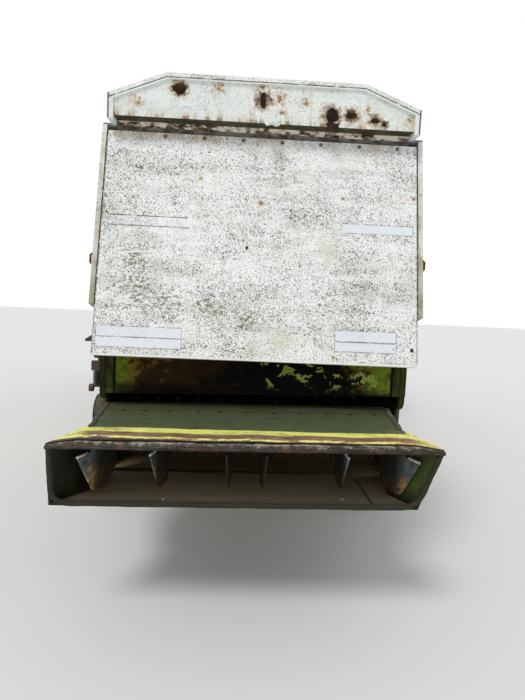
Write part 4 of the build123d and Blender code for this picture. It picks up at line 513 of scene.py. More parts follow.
spreaderLook = {
    # the olive is the plate in painted shade of the flap, the lime its paint in the sun as painted light
    "front": (74, 78, 50), "shadeOlive": (76, 86, 60), "oliveDark": (54, 62, 40), "sunlitLime": (242, 244, 128),
    "brown": (150, 122, 94), "limeLine": (246, 238, 150), "side": (126, 140, 60), "floor": (86, 77, 66),
    "inside": (42, 42, 12),
    # distances ahead of the mouth
    "sunlitStart": 0.150, "bandEnd": 0.094, "brownEnd": 0.052, "seam": 0.425, "plateLeft": -0.790, "plateRight": 0.745,
}


def spreaderFinish():
    # top plate: dull olive inside its ends, the plate in painted shade of the flap; then a band of lime, its paint in
    # the sun as painted light, and brown along the mouth; brown floor and inner walls darkened as painted shade
    f = Finish("spreaderPaint", roughness=0.6)
    f.set("Specular IOR Level", 0.25)
    look = spreaderLook
    grain = f.noise(80)
    smear = f.noise(5, 6, 0.7, stretch=(1, 2.4, 1))
    fromLip = f.y - mouthY
    # the band's upper edge waves as the flap's painted shadow edge
    shadowEdgeWave = (f.noise(2.6, 2, 0.5, stretch=(1, 0.01, 0.01), shift=(3, 0, 0)) - 0.5) * 0.06
    shadowEdgeWave = shadowEdgeWave + f.noise(24, 4, 0.7, stretch=(0.5, 0.01, 0.01), shift=(5, 0, 0)) * 0.016 + f.x * 0.018
    f.colour = f.blend(look["shadeOlive"], (104, 112, 84), smear.above(0.52, 0.3) * 0.6)
    f.coat(look["oliveDark"], (smear + (grain - 0.5) * 0.3).above(0.56, 0.16) * 0.6)
    f.coat(look["front"], fromLip.above(look["seam"], 0.006))
    dust = f.noise(7, stretch=(0.4, 2, 1), shift=(2, 5, 1)).above(0.52, 0.2)
    f.coat((112, 108, 82), fromLip.above(look["seam"], 0.006) * dust * 0.6)
    f.coat((26, 26, 18), fromLip.within(look["seam"] - 0.007, look["seam"] + 0.001, 0.003) * 0.85)
    f.coat((96, 98, 70), fromLip.within(look["seam"] + 0.002, look["seam"] + 0.012, 0.003) * 0.6)
    # painted shade: the plate's front edge is dark like the gap under the wall
    f.coat((30, 28, 20), fromLip.above(0.508, 0.004) * 0.8)
    scratch = f.noise(30, 4, 0.7, stretch=(0.35, 1, 1), shift=(6, 0, 3)).above(0.66, 0.02)
    f.coat((36, 34, 24), scratch * 0.7)
    # painted light: the sunlit lime shows outside the plate's ends, on the bent corners and in the band beyond the
    # flap's painted shadow
    ragged = (f.noise(18, 4, 0.7, stretch=(0.6, 1, 1), shift=(4, 1, 7)) - 0.5) * 0.05
    beyond = (f.x + ragged).above(look["plateRight"], 0.01).most((f.x + ragged).below(look["plateLeft"], 0.01))
    beyond = beyond * fromLip.below(0.185, 0.03)
    sunlitBand = (fromLip + shadowEdgeWave).below(look["sunlitStart"], 0.008).most(beyond)
    sunlitLime = f.blend(look["sunlitLime"], (196, 196, 104), smear.above(0.50, 0.2) * 0.6)
    sunlitLime = f.blend(sunlitLime, (84, 78, 44), (grain + (smear - 0.5) * 0.6).above(0.62, 0.05) * 0.7)
    f.coat(sunlitLime, sunlitBand)
    line = (f.noise(3.4, 3, 0.6, stretch=(1, 0.01, 0.01), shift=(8, 0, 0)) - 0.5) * 0.06 + (grain - 0.5) * 0.02
    end = fromLip + line + f.x * 0.020 + 0.006
    brown = f.blend(look["brown"], (112, 84, 58), f.noise(26, stretch=(0.3, 1, 1)).above(0.50, 0.2))
    scorched = f.noise(40, stretch=(0.3, 1, 1), shift=(3, 3, 3)).above(0.60, 0.08)
    brown = f.blend(brown, (60, 48, 36), scorched * 0.8)
    f.coat(brown, end.below(look["bandEnd"], 0.006) * f.x.within(-0.80, 0.80, 0.10))
    thinEdge = end + (f.noise(60, 4, 0.75, stretch=(0.4, 1, 1)) - 0.5) * 0.05
    broken = f.noise(30, 5, 0.75, stretch=(0.3, 1, 1)).above(0.45, 0.08)
    f.coat(look["limeLine"], thinEdge.within(0.018, look["brownEnd"] - 0.012, 0.005) * broken)
    f.coat((64, 52, 40), end.below(0.012, 0.006))
    orange = f.noise(30, 5, 0.75, shift=(2, 6, 2)).above(0.56, 0.06) * f.x.above(0.60, 0.08) * fromLip.below(0.17, 0.05)
    f.coat((196, 120, 40), orange * 0.8)
    # everything but the top of the plate
    across, forward, upward = f.normal()
    top = upward.above(0.62, 0.1) * f.z.above(0.90, 0.02)
    side = f.blend(look["side"], (96, 84, 48), smear.above(0.52, 0.15))
    side = f.blend(side, (60, 44, 28), f.noise(8, 6, 0.7).above(0.60, 0.05))
    # painted shade: the inner walls are dark like the shade inside the duct, with a patch of painted light on the right
    # wall
    inside = f.blend(look["inside"], (20, 18, 6), smear.above(0.42, 0.25))
    lit = f.x.above(0.3, 0.2) * f.noise(4).above(0.46, 0.15) * f.z.above(0.72, 0.10)
    inside = f.blend(inside, (72, 86, 34), lit * 0.85)
    floor = f.blend(look["floor"], (66, 58, 48), f.noise(12, 6, 0.7, stretch=(0.25, 1, 1)).above(0.48, 0.2))
    floor = f.blend(floor, (136, 124, 104), grain.above(0.62, 0.05) * 0.5)
    # deeper in, the floor is as pale as the light there is weak
    floor = f.blend(floor, (196, 178, 142), fromLip.above(0.20, 0.20) * 0.7)
    crease = (f.x + (fromLip - 0.071) * 0.0495 - 0.594).within(-0.005, 0.005, 0.004) * fromLip.below(0.46, 0.02)
    floor = f.blend(floor, (22, 18, 14), crease * 0.9)
    rest = f.blend(inside, side, (across * f.x).above(0.1, 0.1))
    rest = f.blend(rest, floor, upward.above(0.5, 0.2))
    rest = f.blend(rest, (40, 36, 24), upward.below(-0.3, 0.2) * 0.8)
    f.colour = f.blend(rest, f.colour, top)
    # hinge lugs and pin, in the dark gap under the wall, painted near black and metallic as painted shade
    hinge = (f.z - f.x * duct["sag"]).above(1.047, 0.004) * f.y.above(duct["front"] - 0.004, 0.004)
    f.coat((6, 6, 5), hinge)
    f.set("Metallic", hinge)
    f.set("Roughness", smear * 0.3 + 0.42)
    return f.done(grain * 0.4 + smear * 1.6 - scratch * 0.4, 0.003, 0.8)


def lipFinish():
    # folded edge, rusted dark in fibrous ridges along its length
    f = Finish("rustedLip", roughness=0.85)
    fibre = f.noise(46, 7, 0.75, stretch=(0.16, 1, 1.7))
    coarse = f.noise(9, stretch=(0.35, 1, 1))
    speck = f.noise(125, 3, 0.8)
    f.colour = f.blend((86, 78, 68), (158, 148, 134), (fibre + (coarse - 0.5) * 0.5).above(0.52, 0.12))
    # painted shade: the lip's downward faces are dark
    under = f.normal()[2].below(-0.15, 0.4)
    f.coat((26, 24, 14), under * 0.85)
    f.coat((32, 27, 20), (fibre * 0.7 + coarse * 0.4 + (speck - 0.5) * 0.5).below(0.50, 0.07) * 0.9)
    f.coat((206, 194, 172), (speck + (fibre - 0.5) * 0.5).above(0.62, 0.05) * 0.75)
    # painted shade: the lip's lower half is painted dark, with a ragged edge
    ragged = (f.noise(30, 5, 0.8, stretch=(1, 0.3, 0.3)) - 0.5) * 0.10
    f.coat((30, 26, 17), (f.z - f.x * duct["sag"] + ragged).below(duct["rearTop"] - 0.012, 0.006) * 0.8)
    f.coat((112, 70, 42), f.noise(13, shift=(4, 1, 1)).above(0.60, 0.07) * 0.6)
    # the hem round the mouth stays dark
    hemmed = f.z.below(duct["rearTop"] - 0.075, 0.02).most(abs(f.x - duct["sway"]).above(0.895, 0.02))
    f.coat((38, 37, 18), hemmed * 0.85)
    return f.done(fibre * 1.3 + speck * 0.4, 0.005, 0.9)


def vaneFinish():
    # blue-grey steel, rusty towards the low rear end; painted shade darkens the vanes further in under the plate, and
    # the middle pair all over as dark as the duct
    f = Finish("vaneSteel", roughness=0.55, metallic=0.2)
    fall = (high("spreader_vanes", 2) - 0.11 - f.z) / 0.20
    patch = f.noise(18, 6, 0.72)
    speck = f.noise(90, 3, 0.7)
    f.colour = f.blend((116, 126, 124), (58, 60, 54), patch.above(0.52, 0.2))
    rust = (fall + (patch - 0.5) * 2.0 + (speck - 0.5) * 0.5).above(0.72, 0.25)
    f.coat((204, 166, 112), rust)
    f.coat((112, 72, 42), rust * f.noise(34).above(0.52, 0.15))
    # painted shade: darker further in under the plate, and on the middle pair all over
    vaneShade = f.y.above(mouthY + 0.160, 0.07).most(abs(f.x).below(0.30, 0.05))
    f.coat((34, 29, 20), vaneShade * 0.92)
    f.set("Metallic", 0.2 - rust * 0.2)
    return f.done(patch + speck * 0.4, 0.002, 0.8)


def rustySteel(name, base, rust, share=0.5, metallic=0.4, scale=9, roughness=0.65, shine=0.5):
    f = Finish(name, roughness)
    f.set("Specular IOR Level", shine)
    patch = f.noise(scale, 6, 0.7)
    grain = f.noise(scale * 9, 4, 0.7)
    mask = (patch + (grain - 0.5) * 0.3).above(1 - share, 0.12)
    f.colour = f.blend(base, rust, mask)
    f.coat((38, 30, 24), (grain * 0.6 + patch * 0.5).above(0.64, 0.07) * 0.5)
    f.set("Metallic", metallic - mask * metallic)
    return f.done(grain + patch, 0.0015, 0.7)


def rubberFinish():
    f = Finish("blackRubber", roughness=0.85)
    patch = f.noise(8)
    grain = f.noise(90, 4, 0.7)
    f.colour = f.blend((38, 38, 37), (62, 60, 56), grain.above(0.52, 0.2))
    f.coat((140, 128, 104), patch.above(0.5, 0.3) * 0.4)
    return f.done(grain * 0.5 + patch, 0.0012, 0.6)


def sealFinish():
    # the rubber strip is grey with dirt along its bolts
    f = Finish("hangingStrip", roughness=0.8)
    patch = f.noise(11, 6, 0.72, stretch=(1, 1, 1.6))
    f.colour = f.blend((66, 66, 62), (140, 137, 126), patch.above(0.50, 0.20))
    f.coat((34, 33, 28), patch.above(0.60, 0.08) * 0.8)
    f.coat((96, 70, 44), f.noise(19, shift=(3, 3, 3)).above(0.64, 0.06) * 0.6)
    return f.done(patch, 0.002, 0.7)


def tyreFinish(node):
    # black rubber, dust and dried mud towards the sidewall's foot and in the tread
    f = Finish("tyre_" + node, roughness=0.82)
    radius = (high(node, 2) - low(node, 2)) / 2
    reach = ((f.y - mid(node, 1)) ** 2 + (f.z - mid(node, 2)) ** 2) ** 0.5 / radius
    patch = f.noise(7, 6, 0.7)
    grain = f.noise(85)
    rings = ((reach * 190).math("SINE") * 0.5 + 0.5) * reach.within(0.60, 0.90, 0.03)
    f.colour = f.blend((40, 40, 40), (66, 64, 60), grain.above(0.52, 0.25))
    mud = patch * 0.9 + reach.above(0.93, 0.1) * 0.22 + (grain - 0.5) * 0.2
    f.coat((128, 112, 86), mud.above(0.60, 0.16) * 0.75)
    f.coat((92, 84, 66), f.z.below(0.18, 0.2) * 0.5)
    return f.done(grain * 0.3 + patch * 0.8 + rings * 0.5, 0.0025, 0.7)


def glassFinish():
    f = Finish("dustyGlass", roughness=0.12)
    dust = f.noise(2.4, 6, 0.7)
    f.set("Base Color", f.blend((70, 84, 82), (176, 168, 140), dust.above(0.45, 0.3)))
    f.set("Roughness", dust * 0.25 + 0.05)
    f.set("Alpha", dust.above(0.4, 0.4) * 0.25 + 0.32)
    return f.material


def redFinish(name, base, rustShare=0.34):
    f = Finish(name, roughness=0.6)
    patch = f.noise(6, 6, 0.7)
    grain = f.noise(60)
    f.colour = f.blend(base, (176, 96, 76), (patch * 1.1 + (grain - 0.5) * 0.3).above(0.55, 0.3))
    f.coat((112, 62, 38), (patch + (grain - 0.5) * 0.4).above(1 - rustShare, 0.08))
    f.coat((142, 124, 96), f.noise(3, 4, 0.6, shift=(5, 5, 5)).above(0.55, 0.2) * 0.35)
    return f.done(grain * 0.4 - patch, 0.0015, 0.6)


def vinylFinish():
    f = Finish("seatVinyl", roughness=0.55)
    grain = f.cells(420)
    patch = f.noise(9)
    f.colour = f.blend((44, 44, 42), (84, 80, 70), patch.above(0.52, 0.25))
    f.set("Roughness", patch * 0.3 + 0.4)
    return f.done(grain * 0.3 + f.noise(26, 4, 0.6) * 1.2, 0.0012, 0.7)


def beltFinish():
    f = Finish("driveBelt", roughness=0.75)
    wheel = f.noise(14)
    f.colour = f.blend((46, 44, 42), (120, 112, 92), wheel.above(0.5, 0.2) * 0.5)
    f.coat((124, 70, 40), wheel.above(0.60, 0.06) * 0.5)
    return f.done(wheel, 0.0015, 0.6)


steel = rustySteel("brownedSteel", (92, 90, 84), (112, 68, 40), 0.52)
darkSteel = rustySteel("oiledSteel", (52, 52, 50), (78, 52, 36), 0.44, metallic=0.3)
galvanised = rustySteel("galvanisedSteel", (150, 152, 148), (132, 96, 62), 0.40, metallic=0.55)
polished = rustySteel("polishedSteel", (184, 184, 180), (128, 88, 56), 0.33, metallic=0.8, roughness=0.35)
rustOnly = rustySteel("rustedSteel", (104, 70, 46), (138, 84, 48), 0.5, metallic=0.1)
blackPaint = rustySteel("blackPaint", (44, 44, 42), (96, 64, 42), 0.36, metallic=0.0)
tensionerSteel = rustySteel("tensionerSteel", (72, 68, 60), (74, 54, 38), 0.48, metallic=0.2, scale=22)
# pale, as a painted highlight of the vanes' sunlit top edges
vaneHighlight = rustySteel("litVaneEdge", (236, 230, 212), (146, 124, 96), 0.40, metallic=0.0, scale=30)
# near black as painted shade: the chopper rotor deep in its housing and the middle vanes' beads
knifeSteel = rustySteel("shadeDarkenedSteel", (26, 22, 16), (34, 24, 15), 0.50, metallic=0.1)
boltSteel = rustySteel("boltSteel", (138, 134, 120), (84, 62, 44), 0.48, metallic=0.3, scale=60)
tornSheet = rustySteel("tornSheet", (40, 31, 22), (62, 38, 22), 0.50, metallic=0.0, scale=30, shine=0.1)
green = plainGreen("wornGreen")
greenRusty = plainGreen("wornGreenRusty", rusty=0.05)
greenHeader = plainGreen("wornGreenHeader", rusty=0.03, dusty=0.8)
rubber = rubberFinish()
whiteCap = capFinish()
glass = glassFinish()
rimRed = redFinish("fadedRimRed", (158, 48, 38))
reelRed = redFinish("fadedReelRed", (168, 52, 40), 0.36)


def shieldFinish():
    # painted shade: the guards' rear part, behind the hood's panels, is painted dark
    f, height = wornGreen("wornGreenShields")
    shadedRear = f.y.below(low("side_shields", 1) + 1.30, 0.02)
    f.coat(f.blend((40, 38, 30), (66, 50, 34), f.noise(9).above(0.5, 0.15)), shadedRear)
    return f.done(height, 0.0025, 0.6)


def screenFinish():
    # perforated sheet: rows of dark holes on the screen's face
    f = Finish("perforatedScreen", roughness=0.5, metallic=0.4)
    perMetre = 2 * math.pi / 0.011
    holes = ((f.y * perMetre).math("SINE") * (f.z * perMetre).math("SINE")).above(0.25, 0.3)
    reach = ((f.y - mid("dust_screen", 1)) ** 2 + (f.z - mid("dust_screen", 2)) ** 2) ** 0.5
    face = reach.below(0.305, 0.003) * reach.above(0.05, 0.003)
    patch = f.noise(7)
    f.colour = f.blend((150, 150, 142), (128, 100, 70), patch.above(0.52, 0.2))
    f.coat((34, 32, 28), holes * face * 0.9)
    return f.done(1 - holes * face, 0.001, 0.8)


# own finishes, then those that several nodes share
finishes = {
    "hood_flap": flapFinish(), "hood_gable": gableFinish(), "hood_sides": sideFinish(), "flap_seal": sealFinish(),
    "chopper_housing": chopperFinish(), "spreader_shell": spreaderFinish(), "spreader_lip": lipFinish(),
    "spreader_vanes": vaneFinish(), "dust_screen": screenFinish(), "driver_seat": vinylFinish(),
    "belt_drives": beltFinish(), "side_shields": shieldFinish(),
}
finishes.update({name: tyreFinish(name) for name in nodes if name.startswith("tyre_")})
for finish, sharing in (
        (whiteCap, "hood_cap cab_roof"), (glass, "cab_glass cab_door_glass"), (rubber, "unload_spout"),
        (green, "threshing_body engine_cover grain_tank cab_frame cab_door elevators unload_riser unload_tube"),
        (greenRusty, "axle_carrier front_axle rear_axle platform_ladder knuckle_left knuckle_right feeder_house"),
        (greenHeader, "header_trough"), (rimRed, "rim_front_left rim_front_right rim_rear_left rim_rear_right"),
        (reelRed, "reel_arms reel"), (tensionerSteel, "belt_tensioner"), (darkSteel, "engine_block tie_rod"),
        (rustOnly, "exhaust_stack"), (galvanised, "tank_fill_auger straw_walkers header_auger"),
        (blackPaint, "steering_column work_lamps fuel_tank lift_barrels"), (knifeSteel, "chopper_rotor"),
        (polished, "lift_rods"), (steel, "cutter_bar")):
    finishes.update(dict.fromkeys(sharing.split(), finish))
for name, node in nodes.items():
    node.data.materials.clear()
    node.data.materials.append(finishes[name])


print("stage: shapes")

flanks = ((-1, "left"), (1, "right"))  # the sign of x and the word for each side


def at(x, y, z):
    # points from their coordinates, single ones repeated to match the rows
    return np.stack(np.broadcast_arrays(*(np.asarray(part, float) for part in (x, y, z))), -1)


def row(first, pitch, count):
    # first, first + pitch, first + 2 pitch and so on
    return first + np.arange(count) * pitch


def unit(vectors):
    # each vector over its own length
    return vectors / np.linalg.norm(vectors, axis=-1, keepdims=True)


def quadGrid(rows, columns):
    # corner numbers of the quads between rings of points that close round their columns
    start = np.arange(rows - 1)[:, None] * columns
    here = np.arange(columns)[None]
    there = (here + 1) % columns
    return np.stack([start + here, start + there, start + columns + there, start + columns + here], -1).reshape(-1, 4)


def skin(name, rings, material, body="chassis", smooth=True, hoop=False):
    # closed skins through rings of points, shaped (copies, rows, columns, 3). A strip of quads across the first
    # and the last ring closes the ends, or a hoop's last ring joins its first. A skin whose volume comes out
    # negative is turned inside out
    rings = np.asarray(rings, float)
    rings = rings[None] if rings.ndim == 3 else rings
    copies, rows, columns = rings.shape[:3]
    sides = quadGrid(rows, columns)
    if hoop:
        closing = quadGrid(2, columns)
        quads = np.concatenate([sides, np.where(closing < columns, closing + (rows - 1) * columns, closing - columns)])
    else:
        i = np.arange(columns // 2 - 1)
        cap = np.stack([i, i + 1, columns - 2 - i, columns - 1 - i], -1)
        quads = np.concatenate([sides, cap[:, ::-1], cap + (rows - 1) * columns])
    points = rings.reshape(copies, -1, 3)
    middle = points.mean(1, keepdims=True)
    a, b, c, d = (points[:, quads[:, k]] - middle for k in range(4))
    volume = (np.cross(a, b) * c + np.cross(a, c) * d).sum((1, 2))
    turned = np.where((volume < 0)[:, None, None], quads[None, :, ::-1], quads[None])
    turned = (turned + np.arange(copies)[:, None, None] * rows * columns).reshape(-1, 4)
    mesh = bpy.data.meshes.new(name)
    mesh.from_pydata(points.reshape(-1, 3).tolist(), [], turned.tolist())
    mesh.polygons.foreach_set("use_smooth", [smooth] * len(turned))
    mesh.materials.append(material)
    mesh.update()
    piece = bpy.data.objects.new(name, mesh)
    scene.collection.objects.link(piece)
    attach(piece, body)
    return piece


def spun(name, profile, spots, directions, material, sides, body="chassis", smooth=True, turn=None):
    # turned forms: point = spot + direction * height + radius * (u cos a + v sin a), for stations (radius, height)
    spots = np.asarray(spots, float).reshape(-1, 3)
    w = unit(np.broadcast_to(np.asarray(directions, float), spots.shape))
    helper = np.where(np.abs(w[:, 2:]) < 0.9, [[0.0, 0.0, 1.0]], [[1.0, 0.0, 0.0]])
    u = unit(np.cross(helper, w))
    v = np.cross(w, u)
    profile = np.asarray(profile, float)
    twist = random.uniform(0, 2, (len(spots), 1)) if turn is None else np.full((len(spots), 1), turn)
    angle = (np.arange(sides)[None] * 2 * np.pi / sides + twist)[:, None, :, None]
    outward = np.cos(angle) * u[:, None, None] + np.sin(angle) * v[:, None, None]
    rings = spots[:, None, None] + profile[None, :, None, 1:] * w[:, None, None] + profile[None, :, None, :1] * outward
    return skin(name, rings, material, body, smooth)


def bolts(name, spots, directions, radius, rise, body="chassis", material=boltSteel):
    # washer, hexagon head and crown
    wide = 1.6 * radius
    profile = [(wide, -0.001), (wide, 0.0015), (radius, 0.0016), (radius, 0.8 * rise), (0.7 * radius, rise)]
    return spun(name, profile, spots, directions, material, 6, body, smooth=False)


def swept(name, path, profile, material, body="chassis", lift=up, hoop=False, smooth=True):
    # rings along a path: point = path + across * side + along * top, with side and top square to its direction
    path = np.asarray(path, float)
    step = np.roll(path, -1, -2) - np.roll(path, 1, -2) if hoop else np.gradient(path, axis=-2)
    forward = unit(step)
    side = unit(np.cross(forward, np.broadcast_to(np.asarray(lift, float), forward.shape)))
    top = np.cross(side, forward)
    profile = np.asarray(profile, float)
    rings = path[..., None, :] + profile[:, :1] * side[..., None, :] + profile[:, 1:] * top[..., None, :]
    return skin(name, rings, material, body, smooth, hoop)


def circle(radius, sides=8, tall=1.0):
    # (cos a, tall * sin a) * radius, once round
    angle = row(0, 2 * np.pi / sides, sides)
    return np.stack([np.cos(angle), tall * np.sin(angle)], -1) * radius


def squared(angle, power):
    # cosine and sine pushed out towards a square: sign(w) |w|^power
    return [np.sign(w) * np.abs(w) ** power for w in (np.cos(angle), np.sin(angle))]


def slab(front, through):
    # rings round a thin sheet: out along its front and back along a copy of it, moved through its thickness
    return np.concatenate([front, (front + through)[..., ::-1, :]], -2)


def joined(corners, count):
    # points spaced along straight runs between corners, count to a run, and the last corner
    corners = np.asarray(corners, float)
    share = (np.arange(count) / count)[None, :, None]
    runs = corners[:-1, None] * (1 - share) + corners[1:, None] * share
    return np.concatenate([runs.reshape(-1, corners.shape[1]), corners[-1:]])


def loop(middle, across, upwards, width, height, radius, count=5):
    # a rounded rectangle: each corner's centre plus the radius turned through a quarter circle
    turns = (np.arange(count) / (count - 1) + np.arange(4)[:, None]) * np.pi / 2
    a = np.repeat(np.array([1, -1, -1, 1.0]) * (width / 2 - radius), count) + radius * np.cos(turns).ravel()
    u = np.repeat(np.array([1, 1, -1, -1.0]) * (height / 2 - radius), count) + radius * np.sin(turns).ravel()
    return np.asarray(middle) + a[:, None] * np.asarray(across, float) + u[:, None] * np.asarray(upwards, float)


print("stage: fittings at the rear")

# the hood: rows of bolts (first, pitch, count), curls of torn sheet, latches
hoodParts = {
    "lipBolts": (-0.722, 0.2115, 8), "flapBolts": (-0.526, 0.208, 7), "bolt": (0.0072, 0.008), "boltSink": 0.0085,
    "lipBoltZ": 2.520, "flapBoltDown": 0.027, "sheet": 0.0015, "latchZ": (1.800, 1.843), "latchOut": 0.020,
    "latchAhead": 0.035, "latchBolt": (0.006, 0.006), "latchBoltReach": 0.05,
}
bolts("gableLipBolts", at(row(*hoodParts["lipBolts"]), lipY - hoodParts["boltSink"], hoodParts["lipBoltZ"]), rear,
      *hoodParts["bolt"])

lean = flapLook["lean"]
flapOut = np.array([0, -math.cos(lean), math.sin(lean)])
flapDown = np.array([0, -math.sin(lean), -math.cos(lean)])
hanging = at(row(*hoodParts["flapBolts"]), lipY + 0.004, flapTop)  # on the axis that the flap hangs from
bolts("flapTopBolts", hanging + hoodParts["flapBoltDown"] * flapDown + 0.014 * flapOut, flapOut, *hoodParts["bolt"],
      "hood_flap")


def curl(name, middle, half, reach, turnOver, taper, material):
    # torn sheet that hangs from an edge and rolls up: at a share s of its length it points turnOver * s from straight
    # down, so each step adds (0, -sin, -cos) of that angle, and its sides close in by the taper
    s = np.linspace(0, 1, 12)
    angle = turnOver * s
    fall = np.cumsum(at(0 * s, -np.sin(angle), -np.cos(angle)) * reach / len(s), 0)
    width = half * (1 - taper * s ** 1.5) * (1 + 0.12 * np.sin(9 * s + middle[0] * 40))
    across = np.linspace(-1, 1, 6)
    grid = np.asarray(middle) + fall[:, None] + at(across, 0, 0)[None] * width[:, None, None]
    grid[..., 2] += 0.10 * half * np.cos(across * 4 + 1)[None]
    through = at(0 * s, np.cos(angle), -np.sin(angle))[:, None] * hoodParts["sheet"]
    return skin(name, slab(grid, through), material)


curl("tornCurlPale", (0.040, gableFace - 0.002, 2.552), half=0.040, reach=0.066, turnOver=2.4, taper=0.5,
     material=finishes["hood_cap"])
curl("tornCurlDark", (0.353, gableFace - 0.001, 2.566), half=0.034, reach=0.052, turnOver=0.9, taper=0.3,
     material=tornSheet)

# half of a latch's strap, from its middle to its foot: share of the way out, height
strapHalf = np.array([(1, 0.02), (0.3, 0.032), (0, 0.045)])
strap = np.concatenate([strapHalf[::-1], strapHalf * [1, -1]])
for (side, word), z in zip(flanks, hoodParts["latchZ"]):
    x = side * hoodHalf
    y = lipY - math.tan(lean) * (flapTop - z) + hoodParts["latchAhead"]
    bent = joined(at(x + side * hoodParts["latchOut"] * strap[:, 0], y, z + strap[:, 1]), 3)
    swept("hoodLatch" + word.title(), bent, [(-0.014, -0.002), (0.014, -0.002), (0.014, 0.002), (-0.014, 0.002)],
          rustOnly, lift=(side, 0, 0.01))
    spots = at(x, y, z + hoodParts["latchBoltReach"] * np.array([1, -1]))
    bolts("hoodLatchBolts" + word.title(), spots, (side, 0, 0), *hoodParts["latchBolt"])

# the spreader's plates: the top's bolts, a rubber strip inside each of its ends from one (x, distance ahead of the
# mouth) to another, and two rivets in the floor
plate = {"bolts": (-0.70, 0.135, 11), "boltAhead": 0.40, "boltStray": 0.018, "bolt": (0.007, 0.006),
         "up": (-duct["sag"], -0.128, 1.0), "stripSection": (0.013, 0.0045), "stripOver": 0.003,
         "strips": {"plateStripLeft": ((-0.797, 0.508), (-0.782, 0.160)),
                    "plateStripRight": ((0.741, 0.508), (0.726, 0.190))},
         "rivets": ((-0.423, 0.132, 0.6435), (0.452, 0.161, 0.6600)), "rivetUp": (-0.0177, 0.03, 1)}


def onPlate(x, y, over=0.0):
    # on the top plate, straight from its front edge to the mouth and tipped from side to side
    slope = (duct["frontTop"] - duct["rearTop"]) / (duct["front"] - mouthY)
    return at(x, y, duct["rearTop"] + slope * (y - mouthY) + duct["sag"] * (x - duct["sway"]) + over)


stray = random.uniform(-plate["boltStray"], plate["boltStray"], plate["bolts"][2])
bolts("spreaderPlateBolts", onPlate(row(*plate["bolts"]) + stray, mouthY + plate["boltAhead"]), plate["up"],
      *plate["bolt"], "spreader", darkSteel)
share = np.linspace(0, 1, 24)
for name, (start, stop) in plate["strips"].items():
    x = start[0] + (stop[0] - start[0]) * share + 0.003 * np.sin(share * 17)
    y = mouthY + start[1] + (stop[1] - start[1]) * share
    swept(name, onPlate(x, y, plate["stripOver"]), circle(1, 12) * plate["stripSection"], rubber, "spreader")
rivetSpots = np.array(plate["rivets"]) + [0, mouthY, 0]
spun("floorRivets", [(0.011, -0.0005), (0.010, 0.003), (0.006, 0.0055)], rivetSpots, plate["rivetUp"], galvanised, 10,
     "spreader")

lipLook = {"half": 0.912, "flat": 0.785, "corner": 0.953, "height": 0.040, "end": 0.018, "depth": 0.030, "lean": 0.2353,
           "drop": 0.006, "power": 3.0, "stations": 460, "round": 30, "wrinkle": 0.30, "waves": 16}


def lipRoll():
    # the folded edge as a worn roll: round the path of its four corners runs a superellipse, |u|^p + |v|^p = 1, set
    # between the corners by bilinear mixing; ridges and crumples only ever pull it inwards
    look = lipLook
    x = np.linspace(-1, 1, look["stations"]) * look["half"]
    out = np.clip((np.abs(x) - look["flat"]) / (look["half"] - look["flat"]), 0, 1)
    top = duct["rearTop"] + (look["corner"] - duct["rearTop"]) * out
    height = look["height"] + (look["end"] - look["height"]) * out
    near = mouthY + (duct["rearTop"] - top) * look["lean"]
    far, tilt = near - look["depth"], duct["sag"] * x
    nearTop, farTop, farLow, nearLow = (at(x + duct["sway"], y, z + tilt)[:, None] for y, z in (
        (near, top), (far, top - look["drop"]), (far, top - height - look["drop"]),
        (near + height * look["lean"], top - height)))
    angle = row(0, 2 * np.pi / look["round"], look["round"])
    u, v = squared(angle, 2 / look["power"])
    along, around = x[:, None], angle[None]
    waves = sum(random.uniform(0.4, 1.0) * np.sin(along * random.uniform(6, 60) + around * random.integers(0, 4)
                                                  + random.uniform(0, 6)) for _ in range(look["waves"])) / look["waves"]
    ridges = np.abs(np.sin(around * 4 + 1.6 * np.sin(along * 7) + 0.7 * np.sin(along * 23)))
    crumple = np.clip(0.5 + 1.6 * waves, 0, 1) * 0.6 + ridges * 0.4
    pull = 1 - look["wrinkle"] * crumple * (1 - 0.4 * out[:, None])
    a, b = ((1 + w[None] * pull)[..., None] / 2 for w in (u, v))
    rings = (nearTop * a + farTop * (1 - a)) * b + (nearLow * a + farLow * (1 - a)) * (1 - b)
    rings[[0, -1]] = rings[[0, -1]].mean(1, keepdims=True) * 0.9 + rings[[0, -1]] * 0.1
    return skin("spreaderLipRoll", rings, finishes["spreader_lip"], "spreader")


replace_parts(lipRoll(), "spreader_lip")

# a dark hem down both sides of the mouth and along its floor, bent round the lower corners
hem = {"radius": 0.0145, "flat": 0.75, "floorHalf": 0.878, "floorSway": -0.045, "corner": 0.085, "floorZ": 0.644,
       "topZ": lipLook["corner"] - 0.012, "inset": 0.009, "ahead": 0.004, "ripples": ((0.9, 0.0012), (0.31, 0.0016))}


def rounded(before, corner, after):
    # quadratic curve past a corner: (1-t)^2 before + 2t(1-t) corner + t^2 after
    t = np.linspace(0, 1, 9)[:, None]
    return (1 - t) ** 2 * before + 2 * t * (1 - t) * corner + t ** 2 * after


def mouthEdge(side):
    # top and foot of one side of the mouth, and the step from the foot up to where the bend starts
    top = (side * (lipLook["half"] - hem["inset"]) + duct["sway"], hem["topZ"] + duct["sag"] * side * lipLook["half"])
    foot = (side * (hem["floorHalf"] - hem["inset"]) + hem["floorSway"] + duct["sway"],
            hem["floorZ"] + duct["sag"] * side * hem["floorHalf"])
    return np.array(top), np.array(foot), unit(np.array(top) - np.array(foot)) * hem["corner"]


